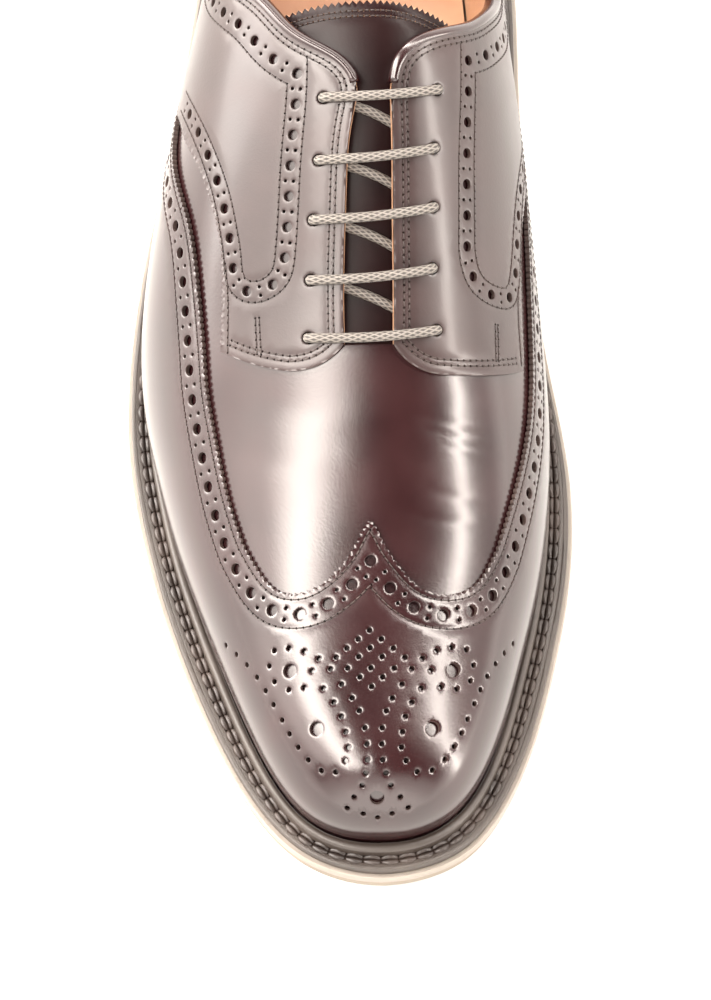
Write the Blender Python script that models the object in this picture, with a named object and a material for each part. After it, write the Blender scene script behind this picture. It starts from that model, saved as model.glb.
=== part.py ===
# Longwing brogue, right shoe: an open-laced derby on a storm welt, double sole and stacked heel.
# The shoe stands on z = 0 with its toe towards -Y and its inner (medial) side towards +X.
# Tables and sizes are in millimetres, and every mesh is made in metres.
import math
import bpy
import bmesh
import numpy as np

MM = 0.001

# Driving sizes of the bottom
SOLE_LENGTH = 304.0
TOE_SPRING = 10.0
SPRING_START = 100.0
SHANK_START = 114.0
BREAST = 214.0
HEEL_HEIGHT = 25.0
TOP_PIECE = 6.0
OUTSOLE = 3.8
MIDSOLE = 2.9
WELT_FLANGE = 2.6
WELT_RIDGE = 3.2
RIDGE_WIDTH = 1.5
RIDGE_SLOPE = 0.4
GUTTER_REACH = 4.6
GUTTER_SHARE = 0.75
GUTTER_DIP = 0.3
WELT_STEP = 1.2
WELT_CLEAR = 0.5
OUTSOLE_STEP = 0.6
OUTSOLE_CHAMFER = 0.5
CHAMFER_HEIGHT = 0.7
HEEL_TAPER = 1.4
HEEL_FLARE = 0.2
HEEL_HEAD = 0.9
GAP = 0.3

# Height of the midsole's upper face over a flat forefoot, where the upper's edge stands
BED = OUTSOLE + GAP + MIDSOLE

# Leather: the wing and the quarters lie on the vamp and lining, which are one hollow wall
OVERLAY = 1.2
WALL = 1.9
WALL_OUT = -(OVERLAY + GAP)
WALL_IN = WALL_OUT - WALL
INSOLE = 2.6
INSOLE_GAP = 0.8
TONGUE = 2.4
TONGUE_DEEP = 6.0
LACE = 2.4
LACE_CLEAR = 0.55
LACE_BOW = 1.6
LACE_DIP = 0.5

TOE_BULGE = 1.6
TOE_BULGE_HEIGHT = 26.0
TOE_BULGE_END = 45.0
TOE_BULGE_RUN = 40.0
BACK_BULGE = 3.2
BACK_BULGE_HEIGHT = 50.0
BACK_BULGE_START = 262.0
BACK_BULGE_RUN = 36.0

# Sections of the last. station: distance from the sole's toe tip. lateral, medial: the widest line.
# spine: the middle line. girdle: the widest line's height above the bed. crest: the top above the
# floor over flat ground. depth: the lower half axis. fullness: how square the upper half is.
LAST_COLUMNS = ("station", "lateral", "medial", "spine", "girdle", "crest", "depth", "fullness")
LAST = (
    (8.6, 7.4, 7.4, 7.4, 0.0, 0.0, 0.0, 0.10),
    (10.2, -2.6, 17.0, 7.3, 4.8, 31.5, 11.0, 0.10),
    (14.4, -9.8, 24.6, 7.1, 8.4, 38.0, 19.0, 0.10),
    (21.0, -15.6, 30.2, 6.8, 10.6, 41.8, 24.0, 0.10),
    (30.0, -21.2, 35.0, 6.5, 12.2, 44.2, 28.0, 0.10),
    (42.0, -26.8, 39.2, 6.1, 13.4, 46.4, 31.0, 0.10),
    (56.0, -32.4, 42.8, 5.7, 14.2, 49.4, 33.0, 0.09),
    (72.0, -38.4, 46.6, 5.3, 15.0, 54.0, 34.0, 0.08),
    (88.0, -43.7, 49.1, 5.0, 15.8, 60.0, 35.0, 0.06),
    (104.0, -47.8, 50.4, 4.9, 16.8, 67.0, 36.0, 0.03),
    (120.0, -51.2, 50.5, 5.0, 18.0, 75.4, 37.0, 0.00),
    (138.0, -52.4, 49.2, 5.4, 19.8, 85.4, 39.0, -0.02),
    (156.0, -50.5, 47.0, 5.9, 21.6, 95.6, 41.0, -0.02),
    (174.0, -46.8, 44.9, 6.3, 23.0, 104.8, 43.0, 0.00),
    (192.0, -42.8, 42.6, 6.4, 24.0, 112.4, 45.0, 0.04),
    (210.0, -38.9, 40.4, 6.0, 24.4, 118.0, 46.0, 0.09),
    (228.0, -35.5, 39.6, 5.2, 24.4, 121.6, 46.0, 0.14),
    (246.0, -33.0, 38.2, 4.4, 24.4, 123.2, 45.0, 0.14),
    (262.0, -30.9, 35.8, 3.8, 24.4, 122.4, 43.0, 0.12),
    (276.0, -27.2, 31.9, 3.4, 23.0, 118.0, 40.0, 0.10),
    (286.5, -21.5, 26.6, 3.2, 20.2, 108.0, 35.0, 0.10),
    (294.0, -12.8, 18.2, 3.0, 15.0, 91.0, 27.0, 0.10),
    (298.0, -4.2, 9.8, 2.9, 8.0, 66.0, 14.0, 0.10),
    (299.2, 2.8, 2.8, 2.8, 0.0, 0.0, 0.0, 0.10),
)

# Outline of the sole, seen from above
SOLE_COLUMNS = ("station", "lateral", "medial")
SOLE = (
    (0.0, 8.0, 8.0),
    (1.6, -2.0, 17.8),
    (6.3, -11.6, 27.8),
    (16.0, -20.9, 36.2),
    (28.0, -28.3, 42.2),
    (44.0, -35.8, 47.7),
    (61.0, -42.4, 51.8),
    (78.0, -47.9, 55.1),
    (95.0, -52.3, 56.8),
    (112.0, -55.5, 56.6),
    (129.0, -56.9, 54.4),
    (146.0, -56.2, 51.0),
    (165.0, -53.2, 47.8),
    (185.0, -48.8, 45.6),
    (205.0, -45.2, 44.6),
    (225.0, -42.3, 44.4),
    (245.0, -39.9, 43.9),
    (262.0, -37.0, 41.8),
    (277.0, -32.0, 37.0),
    (289.0, -24.6, 30.0),
    (298.0, -14.5, 20.3),
    (302.6, -5.0, 11.0),
    (304.0, 3.0, 3.0),
)

# Edges of the collar and of the slit between the facings, as angles round the last in degrees:
# 0 is the medial widest line, 90 the top and 180 the lateral widest line
OPENING_COLUMNS = ("station", "medial", "lateral")
OPENING = (
    (116.0, 82.2, 96.2),
    (130.0, 82.2, 96.6),
    (146.0, 82.6, 96.6),
    (160.0, 83.0, 96.2),
    (169.0, 83.6, 94.6),
    (174.0, 82.6, 96.4),
    (178.0, 79.6, 101.4),
    (183.0, 70.0, 110.6),
    (189.0, 53.0, 118.0),
    (196.0, 40.0, 126.0),
    (206.0, 27.6, 139.4),
    (218.0, 23.4, 150.2),
    (232.0, 23.0, 156.0),
    (248.0, 25.2, 155.0),
    (264.0, 29.2, 150.8),
    (277.0, 36.2, 143.8),
    (286.0, 47.0, 133.0),
    (291.0, 63.0, 117.0),
    (292.6, 82.0, 98.0),
)

# Upper edge of the wing along both sides, from its front lobes to the heel
WING_COLUMNS = ("station", "medial", "lateral")
WING = (
    (74.4, 44.0, 131.4),
    (85.5, 39.0, 133.7),
    (100.0, 32.4, 135.2),
    (112.0, 28.2, 136.2),
    (124.0, 25.8, 136.2),
    (140.0, 22.6, 138.7),
    (155.0, 17.6, 145.4),
    (171.0, 12.4, 158.6),
    (186.0, 8.4, 168.6),
    (200.0, 6.0, 174.0),
    (216.0, 4.8, 175.8),
    (240.0, 4.6, 175.6),
    (262.0, 5.4, 174.6),
    (276.0, 8.2, 171.8),
    (286.5, 15.0, 165.0),
    (294.0, 26.5, 153.5),
    (296.0, 39.5, 140.5),
    (297.1, 56.0, 124.0),
    (297.7, 78.0, 102.0),
)

# Front edge of the wing between its two sides: how far each angle reaches towards the heel
WING_FRONT_COLUMNS = ("angle", "station")
WING_FRONT = (
    (44.0, 74.4),
    (49.0, 67.4),
    (56.0, 62.8),
    (64.0, 61.2),
    (71.0, 61.6),
    (77.0, 64.0),
    (82.0, 68.0),
    (86.0, 72.6),
    (90.0, 77.2),
    (94.0, 72.6),
    (98.0, 68.0),
    (104.0, 64.0),
    (111.0, 61.6),
    (118.0, 61.6),
    (124.0, 64.0),
    (128.0, 68.4),
    (131.4, 74.4),
)

# Each quarter between its facing edge and its lower edge, which runs under the wing at the back
QUARTER_COLUMNS = ("station", "medial_top", "medial_low", "lateral_top", "lateral_low")
QUARTER = (
    (110.4, 77.0, 33.0, 101.4, 130.4),
    (112.4, 80.6, 32.6, 98.0, 130.2),
    (116.0, 82.2, 32.2, 96.4, 129.8),
    (127.0, 82.2, 31.6, 96.6, 129.4),
    (140.0, 82.4, 29.6, 96.6, 131.0),
    (154.0, 82.8, 23.6, 96.4, 136.8),
    (164.0, 83.2, 16.4, 95.6, 143.4),
    (172.0, 84.0, 9.0, 94.4, 151.0),
    (182.0, 89.4, 2.0, 90.6, 162.0),
    (192.0, 89.4, -4.0, 90.6, 176.0),
    (216.0, 89.4, -6.0, 90.6, 186.0),
    (250.0, 89.4, -6.0, 90.6, 186.0),
    (276.0, 89.4, -6.0, 90.6, 186.0),
    (292.0, 89.4, 0.0, 90.6, 180.0),
    (297.7, 88.0, 20.0, 92.0, 160.0),
)
FACING_SWEEP = 9.0
FACING_FADE = 60.0
WING_FADE = 80.0
WING_LAP = 0.7

# Ends of the five straight lace bars, lateral then medial
LACE_COLUMNS = ("lateral_station", "lateral_angle", "medial_station", "medial_angle")
LACES = (
    (117.9, 105.2, 120.3, 68.8),
    (130.2, 104.7, 133.4, 69.8),
    (142.8, 104.4, 146.4, 69.0),
    (155.2, 103.6, 158.9, 68.4),
    (168.4, 103.2, 171.6, 66.8),
)

# Tongue: its two side edges round the last and its depth under the outermost leather
TONGUE_COLUMNS = ("station", "medial", "lateral", "depth")
TONGUE_ROWS = (
    (101.0, 71.0, 109.0, 3.85),
    (107.0, 68.0, 112.0, 3.95),
    (114.0, 65.0, 114.0, 4.9),
    (122.0, 63.0, 115.0, TONGUE_DEEP),
    (145.0, 59.0, 117.0, TONGUE_DEEP),
    (165.0, 53.0, 120.0, TONGUE_DEEP),
    (180.0, 46.0, 123.0, TONGUE_DEEP),
    (188.0, 43.0, 124.0, TONGUE_DEEP),
    (190.5, 46.0, 121.0, TONGUE_DEEP),
)

# Rows and columns of each mesh grid, and how far each cutter stands out of and into the leather
UPPER_STATIONS = 28
UPPER_COLUMNS = 20
RING_SIDE = 40
HEEL_SIDE = 19
MOUTH_GRID = (44, 6)
WING_GRID = (39, 24)
QUARTER_GRID = (29, 6)
TONGUE_GRID = (13, 7)
LACE_POINTS = 7
MOUTH_CUT = (9.0, -12.0)
WING_CUT = (5.0, -6.0)
QUARTER_CUT = (6.0, -6.0)
END_WEIGHT = 0.4
END_CLEAR = 0.6
TINY = 0.001

# How far the tables' curves are eased for an even shine
LAST_STIFFNESS = 60.0
SOLE_STIFFNESS = 20.0


def column(rows, names, name):
    """One named column of a table."""
    place = names.index(name)
    return np.array([row[place] for row in rows], float)


def fair_cubic(knots, values, stiffness=0.0):
    """A natural cubic spline through the values, or past them by a little where it is stiff."""
    knots = np.asarray(knots, float)
    values = np.asarray(values, float)
    count = len(knots)
    step = np.diff(knots)
    slope = np.zeros((count, count - 2))
    band = np.zeros((count - 2, count - 2))
    for i in range(count - 2):
        slope[i, i] = 1.0 / step[i]
        slope[i + 1, i] = -1.0 / step[i] - 1.0 / step[i + 1]
        slope[i + 2, i] = 1.0 / step[i + 1]
        band[i, i] = (step[i] + step[i + 1]) / 3.0
        if i:
            band[i - 1, i] = step[i] / 6.0
            band[i, i - 1] = step[i] / 6.0
    inner = np.linalg.solve(band + stiffness * slope.T @ slope, slope.T @ values)
    values = values - stiffness * slope @ inner
    bend = np.concatenate([[0.0], inner, [0.0]])

    def curve(place):
        place = np.asarray(place, float)
        i = np.clip(np.searchsorted(knots, place) - 1, 0, count - 2)
        width = knots[i + 1] - knots[i]
        a = (knots[i + 1] - place) / width
        b = (place - knots[i]) / width
        cubic = ((a ** 3 - a) * bend[i] + (b ** 3 - b) * bend[i + 1]) * width * width / 6.0
        return a * values[i] + b * values[i + 1] + cubic

    return curve


def walk_knots(rows, names):
    """Distance walked along the mean half outline, used to place every section."""
    station = column(rows, names, "station")
    half = (column(rows, names, "medial") - column(rows, names, "lateral")) / 2.0
    steps = np.hypot(np.diff(station), np.diff(half))
    return np.concatenate([[0.0], np.cumsum(steps)])


def round_ended(knots, values, partner, stiffness):
    """A curve that runs on into its partner past the toe and the heel, so both ends are round."""
    reach = 5
    end = knots[-1]
    before = -knots[reach:0:-1]
    after = 2.0 * end - knots[-2:-2 - reach:-1]
    all_knots = np.concatenate([before, knots, after])
    all_values = np.concatenate([partner[reach:0:-1], values, partner[-2:-2 - reach:-1]])
    return fair_cubic(all_knots, all_values, stiffness)


def ease(share):
    """Smooth step from 0 to 1 without a kink in its bend."""
    share = np.clip(share, 0.0, 1.0)
    return share ** 3 * (share * (6.0 * share - 15.0) + 10.0)


def swelling(share):
    """Soft bump between 0 and 1 that is 1 in its middle."""
    share = np.clip(share, 0.0, 1.0)
    return (4.0 * share * (1.0 - share)) ** 2


def ground(station):
    """Height of the sole's lower face: toe spring, flat forefoot, then the shank up to the heel."""
    spring = TOE_SPRING * np.clip((SPRING_START - station) / SPRING_START, 0.0, None) ** 2
    shank = HEEL_HEIGHT * ease((station - SHANK_START) / (BREAST - 2.0 - SHANK_START))
    return spring + shank


def bed(station):
    """Height of the midsole's upper face, on which the leather stands."""
    return BED + ground(station)


last_knots = walk_knots(LAST, LAST_COLUMNS)
LAST_END = last_knots[-1]
last_station = column(LAST, LAST_COLUMNS, "station")
last_lateral = column(LAST, LAST_COLUMNS, "lateral")
last_medial = column(LAST, LAST_COLUMNS, "medial")
last_girdle = column(LAST, LAST_COLUMNS, "girdle")
last_depth = column(LAST, LAST_COLUMNS, "depth")
last_height = column(LAST, LAST_COLUMNS, "crest") - bed(last_station) - last_girdle
last_height[0] = 0.0
last_height[-1] = 0.0
last_spine = column(LAST, LAST_COLUMNS, "spine")
last_fullness = column(LAST, LAST_COLUMNS, "fullness")
station_at = round_ended(last_knots, last_station, last_station, LAST_STIFFNESS)
lateral_at = round_ended(last_knots, last_lateral, last_medial, LAST_STIFFNESS)
medial_at = round_ended(last_knots, last_medial, last_lateral, LAST_STIFFNESS)
spine_at = round_ended(last_knots, last_spine, last_spine, LAST_STIFFNESS)
girdle_at = round_ended(last_knots, last_girdle, -last_girdle, LAST_STIFFNESS)
height_at = round_ended(last_knots, last_height, -last_height, LAST_STIFFNESS)
depth_at = round_ended(last_knots, last_depth, -last_depth, LAST_STIFFNESS)
fullness_at = round_ended(last_knots, last_fullness, last_fullness, LAST_STIFFNESS)

FINE = np.linspace(0.0, LAST_END, 1200)
FINE_STATION = np.maximum.accumulate(station_at(FINE))


def walk_of(station):
    """Distance along the last at which a station lies."""
    return np.interp(station, FINE_STATION, FINE)


def last_surface(walk, angle):
    """Point of the outermost leather, in millimetres, for a distance along the last and an angle."""
    walk, angle = np.broadcast_arrays(np.asarray(walk, float), np.asarray(angle, float))
    spine = spine_at(walk)
    across = np.cos(angle)
    up = np.sin(angle)
    half = np.where(across >= 0.0, medial_at(walk) - spine, spine - lateral_at(walk))
    tall = np.where(up >= 0.0, height_at(walk), depth_at(walk))
    full = np.where(up > 0.0, fullness_at(walk), 0.0)
    x = spine + half * across * (1.0 + full * up * up)
    station = station_at(walk)
    rise = girdle_at(walk) + tall * up * (1.0 + full * across * across)
    z = bed(station) + rise
    toe = swelling(rise / TOE_BULGE_HEIGHT) * ease((TOE_BULGE_END - station) / TOE_BULGE_RUN)
    back = swelling(rise / BACK_BULGE_HEIGHT) * ease((station - BACK_BULGE_START) / BACK_BULGE_RUN)
    return np.stack([x, station - TOE_BULGE * toe + BACK_BULGE * back, z], axis=-1)


def last_normal(walk, angle):
    """Outward direction of the last's surface, by small steps along and around it."""
    walk = np.clip(walk, END_CLEAR, LAST_END - END_CLEAR)
    along = last_surface(walk + TINY, angle) - last_surface(walk - TINY, angle)
    around = last_surface(walk, angle + TINY) - last_surface(walk, angle - TINY)
    normal = np.cross(along, around)
    return normal / np.linalg.norm(normal, axis=-1, keepdims=True)


def on_last(walk, angle, offset):
    """Point at an offset along the normal: leather thickness is measured square to the surface."""
    offset = np.asarray(offset, float)[..., None]
    return last_surface(walk, angle) + offset * last_normal(walk, angle)


def edge_angle(walk):
    """Angle below the widest line at which the section reaches the bed."""
    share = girdle_at(walk) / np.maximum(depth_at(walk), 1e-6)
    return np.arcsin(np.clip(share, 0.0, 0.95))


def end_heavy(count):
    """Shares from 0 to 1 that lie closer together at the toe and the heel, where the form turns."""
    even = np.linspace(0.0, 1.0, count)
    return (1.0 - END_WEIGHT) * even + END_WEIGHT * (1.0 - np.cos(math.pi * even)) / 2.0


def resample(points, count):
    """The same open path with fewer points, closer together at its ends."""
    steps = np.linalg.norm(np.diff(points, axis=0), axis=1)
    length = np.concatenate([[0.0], np.cumsum(steps)])
    places = length[-1] * end_heavy(count)
    return np.stack([np.interp(places, length, points[:, axis]) for axis in range(3)], axis=1)


def close_ring(lateral, medial):
    """One loop from the toe tip round the lateral side to the heel tip and back."""
    return np.concatenate([lateral, medial[-2:0:-1]])


def last_ring(rise, offset, side_count=RING_SIDE):
    """Level loop round the last at a rise above the bed."""
    top_rise = girdle_at(FINE) + height_at(FINE)
    inside = np.nonzero(top_rise > rise)[0]
    first = FINE[inside[0]]
    last = FINE[inside[-1]]
    share = np.linspace(0.0, 1.0, 400)
    walk = first + (last - first) * (1.0 - np.cos(np.pi * share)) / 2.0
    girdle = girdle_at(walk)
    tall = np.where(rise >= girdle, height_at(walk), depth_at(walk))
    full = np.where(rise > girdle, fullness_at(walk), 0.0)
    sine = np.zeros_like(walk)
    for _ in range(6):
        swell = 1.0 + full * (1.0 - sine * sine)
        sine = np.clip((rise - girdle) / np.maximum(tall * swell, 1e-6), -1.0, 1.0)
    angle = np.arcsin(sine)
    angle[0] = math.pi / 2.0 if rise > 0.0 else 0.0
    angle[-1] = angle[0]
    sides = []
    for turn in (math.pi - angle, angle):
        path = on_last(walk, turn, offset)
        path[0, 0] = spine_at(0.0)
        path[-1, 0] = spine_at(LAST_END)
        path[:, 2] = bed(path[:, 1]) + rise
        sides.append(resample(path, side_count + 1))
    return close_ring(*sides)


sole_knots = walk_knots(SOLE, SOLE_COLUMNS)
sole_station = column(SOLE, SOLE_COLUMNS, "station")
sole_lateral = column(SOLE, SOLE_COLUMNS, "lateral")
sole_medial = column(SOLE, SOLE_COLUMNS, "medial")
sole_station_at = round_ended(sole_knots, sole_station, sole_station, SOLE_STIFFNESS)
sole_lateral_at = round_ended(sole_knots, sole_lateral, sole_medial, SOLE_STIFFNESS)
sole_medial_at = round_ended(sole_knots, sole_medial, sole_lateral, SOLE_STIFFNESS)


def sole_sides(inset, start=0.0):
    """Both sides of the sole's outline, drawn in by an inset, from a station to the heel tip."""
    walk = np.linspace(0.0, sole_knots[-1], 500)
    sides = []
    for curve, outward in ((sole_lateral_at, -1.0), (sole_medial_at, 1.0)):
        path = np.stack([curve(walk), sole_station_at(walk), 0.0 * walk], axis=1)
        run = np.gradient(path, axis=0)
        run[0] = (outward, 0.0, 0.0)
        run[-1] = (-outward, 0.0, 0.0)
        run /= np.linalg.norm(run, axis=1, keepdims=True)
        path[:, 0] -= inset * outward * run[:, 1]
        path[:, 1] += inset * outward * run[:, 0]
        path[0, 1] = sole_station[0] + inset
        path[-1, 1] = sole_station[-1] - inset
        sides.append(path[path[:, 1] >= start])
    return sides


def sole_ring(inset, height, side_count=RING_SIDE):
    """Loop of the sole's edge at a height above its lower face."""
    ring = close_ring(*[resample(side, side_count + 1) for side in sole_sides(inset)])
    ring[:, 2] = ground(ring[:, 1]) + height
    return ring


def world(point):
    """From millimetres along the shoe to metres, with the sole's middle at y = 0."""
    return (point[0] * MM, (point[1] - SOLE_LENGTH / 2.0) * MM, point[2] * MM)


def colour_of(name, red_green_blue, roughness):
    """A plain material of one colour."""
    material = bpy.data.materials.new(name)
    material.use_nodes = True
    shader = material.node_tree.nodes["Principled BSDF"]
    shader.inputs["Base Color"].default_value = (*red_green_blue, 1.0)
    shader.inputs["Roughness"].default_value = roughness
    shader.inputs["Metallic"].default_value = 0.0
    material.diffuse_color = (*red_green_blue, 1.0)
    return material


def new_object(name, vertices, faces, collection, material=None):
    """A smooth-shaded object from points in millimetres. Without a material it is a cutter."""
    mesh = bpy.data.meshes.new(name)
    form = bmesh.new()
    made = [form.verts.new(world(vertex)) for vertex in vertices]
    for face in faces:
        form.faces.new([made[corner] for corner in face])
    # Every four-sided face is split the same way, so that nested walls stay nested
    bmesh.ops.triangulate(form, faces=form.faces[:], quad_method="FIXED")
    bmesh.ops.recalc_face_normals(form, faces=form.faces[:])
    form.to_mesh(mesh)
    form.free()
    mesh.shade_smooth()
    mesh.set_sharp_from_angle(angle=math.radians(40.0))
    thing = bpy.data.objects.new(name, mesh)
    collection.objects.link(thing)
    if material:
        mesh.materials.append(material)
    else:
        thing.hide_render = True
        thing.display_type = "WIRE"
    return thing


def ring_solid(name, rings, collection, material):
    """A loop-shaped solid whose section has one corner on each ring."""
    size = len(rings[0])
    faces = []
    for ring in range(len(rings)):
        following = (ring + 1) % len(rings)
        for i in range(size):
            j = (i + 1) % size
            faces.append((ring * size + i, ring * size + j, following * size + j, following * size + i))
    return new_object(name, np.concatenate(rings), faces, collection, material)


def plank(name, rings, collection, material, open_front=False):
    """A slab between its lowest and highest ring, closed by rungs from side to side."""
    size = len(rings[0])
    faces = []
    for level in range(len(rings) - 1):
        for i in range(size):
            j = (i + 1) % size
            below, above = level * size, (level + 1) * size
            faces.append((below + i, below + j, above + j, above + i))
    pairs = [(i, size - 1 - i) if open_front else (i, -i % size) for i in range(size // 2 + 1)]
    for base in (0, (len(rings) - 1) * size):
        for (a, b), (c, d) in zip(pairs, pairs[1:]):
            corners = []
            for corner in (a, c, d, b):
                if base + corner not in corners:
                    corners.append(base + corner)
            if len(corners) > 2:
                faces.append(tuple(corners))
    return new_object(name, np.concatenate(rings), faces, collection, material)


def upper_grid(offset):
    """Points of a full wall surface, from the bed up one side, over the top and down the other."""
    walk = LAST_END * end_heavy(UPPER_STATIONS + 1)
    low = edge_angle(walk)
    share = np.linspace(0.0, 1.0, UPPER_COLUMNS + 1)
    angle = -low[:, None] + (math.pi + 2.0 * low[:, None]) * share[None, :]
    points = on_last(walk[:, None], angle, offset * np.ones_like(angle))
    for rim in (0, UPPER_COLUMNS):
        points[:, rim, 2] = bed(points[:, rim, 1]) + GAP
    for row, sign in ((0, -1.0), (-1, 1.0)):
        points[row, :, 0] = spine_at(walk[row])
        points[row, :, 1] = station_at(walk[row]) + sign * offset
        points[row, :, 2] = bed(points[row, :, 1]) + GAP
    return points


def last_shell(name, outer, inner, collection, material=None):
    """A closed hollow wall between two offsets of the last, open underneath."""
    rows = UPPER_STATIONS
    columns = UPPER_COLUMNS
    vertices = []
    index = {}
    for layer, offset in enumerate((outer, inner)):
        grid = upper_grid(offset)
        for row in range(rows + 1):
            for place in range(columns + 1):
                if row in (0, rows) and place > 0:
                    index[layer, row, place] = index[layer, row, 0]
                else:
                    index[layer, row, place] = len(vertices)
                    vertices.append(grid[row, place])
    faces = []

    def add(*keys):
        corners = []
        for key in keys:
            if index[key] not in corners:
                corners.append(index[key])
        if len(corners) > 2:
            faces.append(tuple(corners))

    for row in range(rows):
        for layer in (0, 1):
            for place in range(columns):
                add((layer, row, place), (layer, row + 1, place),
                    (layer, row + 1, place + 1), (layer, row, place + 1))
        for rim in (0, columns):
            add((0, row, rim), (0, row + 1, rim), (1, row + 1, rim), (1, row, rim))
    return new_object(name, vertices, faces, collection, material)


def patch(name, stations, angles, outer, inner, collection, material=None):
    """A closed thick patch of the last's surface over a grid of stations and angles."""
    rows, columns = stations.shape
    walk = walk_of(stations)
    turn = np.radians(angles)
    outside = on_last(walk, turn, outer * np.ones_like(turn))
    inside = on_last(walk, turn, inner * np.ones_like(turn))
    vertices = np.concatenate([outside.reshape(-1, 3), inside.reshape(-1, 3)])
    depth = rows * columns
    faces = []
    for row in range(rows - 1):
        for place in range(columns - 1):
            a = row * columns + place
            b = a + columns
            faces.append((a, b, b + 1, a + 1))
            faces.append((a + depth, a + 1 + depth, b + 1 + depth, b + depth))
    border = list(range(columns))
    border += [row * columns + columns - 1 for row in range(1, rows)]
    border += [(rows - 1) * columns + place for place in range(columns - 2, -1, -1)]
    border += [row * columns for row in range(rows - 2, 0, -1)]
    for a, b in zip(border, border[1:] + border[:1]):
        faces.append((a, b, b + depth, a + depth))
    return new_object(name, vertices, faces, collection, material)


def strip_grid(stations, first, second, rows, columns):
    """Grid between two edges that are given at the same stations."""
    along = np.linspace(0.0, 1.0, rows)
    count = np.arange(len(stations))
    place = along * count[-1]
    station = fair_cubic(count, stations)(place)
    start = fair_cubic(count, first)(place)
    end = fair_cubic(count, second)(place)
    share = np.linspace(0.0, 1.0, columns)
    angles = start[:, None] + (end - start)[:, None] * share[None, :]
    return np.repeat(station[:, None], columns, axis=1), angles


def trim(thing, cutter, operation):
    """Cuts or keeps a region of an object with a Boolean."""
    modifier = thing.modifiers.new(cutter.name, "BOOLEAN")
    modifier.object = cutter
    modifier.operation = operation
    modifier.solver = "EXACT"


def make_collection(name):
    """A new collection in the scene."""
    collection = bpy.data.collections.new(name)
    bpy.context.scene.collection.children.link(collection)
    return collection


def make_bottom(shoe, rubber, cream, dark_welt, stack):
    """Outsole, midsole, welt, heel stack and rubber top piece."""
    chamfer = [sole_ring(OUTSOLE_STEP + OUTSOLE_CHAMFER, 0.0), sole_ring(OUTSOLE_STEP, CHAMFER_HEIGHT)]
    plank("outsole", chamfer + [sole_ring(OUTSOLE_STEP, OUTSOLE)], shoe, rubber)
    lower = OUTSOLE + GAP
    plank("midsole", [sole_ring(0.0, lower), sole_ring(0.0, lower + MIDSOLE)], shoe, cream)
    make_welt(shoe, dark_welt)
    levels = ((0.0, HEEL_TAPER), (TOP_PIECE, HEEL_TAPER - HEEL_FLARE),
              (TOP_PIECE + GAP, HEEL_TAPER), (HEEL_HEIGHT - GAP, HEEL_HEAD))
    rings = []
    for height, inset in levels:
        lateral, medial = [resample(side, HEEL_SIDE) for side in sole_sides(inset, BREAST)]
        ring = np.concatenate([lateral, medial[-2::-1]])
        ring[:, 2] = height
        rings.append(ring)
    plank("top_piece", rings[:2], shoe, rubber, open_front=True)
    plank("heel_stack", rings[2:], shoe, stack, open_front=True)


def make_welt(shoe, material):
    """Storm welt: a flange under the upper's edge with a ridge that stands against the leather."""
    foot = last_ring(GAP, WELT_CLEAR)
    waist = last_ring(WELT_FLANGE, WELT_CLEAR)
    head = last_ring(WELT_FLANGE + WELT_RIDGE + GAP, WELT_CLEAR)
    edge = sole_ring(WELT_STEP, BED + GAP)
    outward = edge - foot
    outward[:, 2] = 0.0
    outward /= np.linalg.norm(outward, axis=1, keepdims=True)
    crown = head + RIDGE_WIDTH * outward
    crown[:, 2] -= RIDGE_SLOPE
    width = np.linalg.norm((edge - foot)[:, :2], axis=1, keepdims=True)
    gutter = foot + np.minimum(GUTTER_REACH, GUTTER_SHARE * width) * outward
    gutter[:, 2] = bed(gutter[:, 1]) + GAP + WELT_FLANGE - GUTTER_DIP
    rim = edge.copy()
    rim[:, 2] += WELT_FLANGE
    low = edge.copy()
    ring_solid("welt", [foot, waist, head, crown, gutter, rim, low], shoe, material)


def make_upper(shoe, cutters, leather):
    """Hollow upper with its overlays, all from the same wall function."""
    station = column(OPENING, OPENING_COLUMNS, "station")
    medial = column(OPENING, OPENING_COLUMNS, "medial")
    lateral = column(OPENING, OPENING_COLUMNS, "lateral")
    mouth = patch("mouth_cutter", *strip_grid(station, medial, lateral, *MOUTH_GRID), *MOUTH_CUT, cutters)
    upper = last_shell("upper", WALL_OUT, WALL_IN, shoe, leather)
    trim(upper, mouth, "DIFFERENCE")

    wing = last_shell("wing_cap", 0.0, -OVERLAY, shoe, leather)
    trim(wing, wing_cutter("wing_cutter", 0.0, cutters), "DIFFERENCE")
    above_wing = wing_cutter("above_wing", WING_LAP, cutters)

    for side in ("lateral", "medial"):
        quarter = last_shell("quarter_" + side, 0.0, -OVERLAY, shoe, leather)
        trim(quarter, quarter_cutter(side, cutters), "INTERSECT")
        trim(quarter, above_wing, "INTERSECT")
        trim(quarter, mouth, "DIFFERENCE")


def wing_cutter(name, lap, cutters):
    """Everything above the wing's edge, with the double lobe and the point at its front."""
    station, medial, lateral = [column(WING, WING_COLUMNS, label) for label in WING_COLUMNS]
    medial = medial + lap
    lateral = lateral - lap
    stations, angles = strip_grid(station, medial, lateral, *WING_GRID)
    front = fair_cubic(column(WING_FRONT, WING_FRONT_COLUMNS, "angle"),
                       column(WING_FRONT, WING_FRONT_COLUMNS, "station"))
    reach = front(angles[0]) - station[0]
    fade = np.clip(1.0 - (stations[:, 0] - station[0]) / WING_FADE, 0.0, 1.0)
    stations = stations + fade[:, None] * reach[None, :]
    return patch(name, stations, angles, *WING_CUT, cutters)


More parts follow.
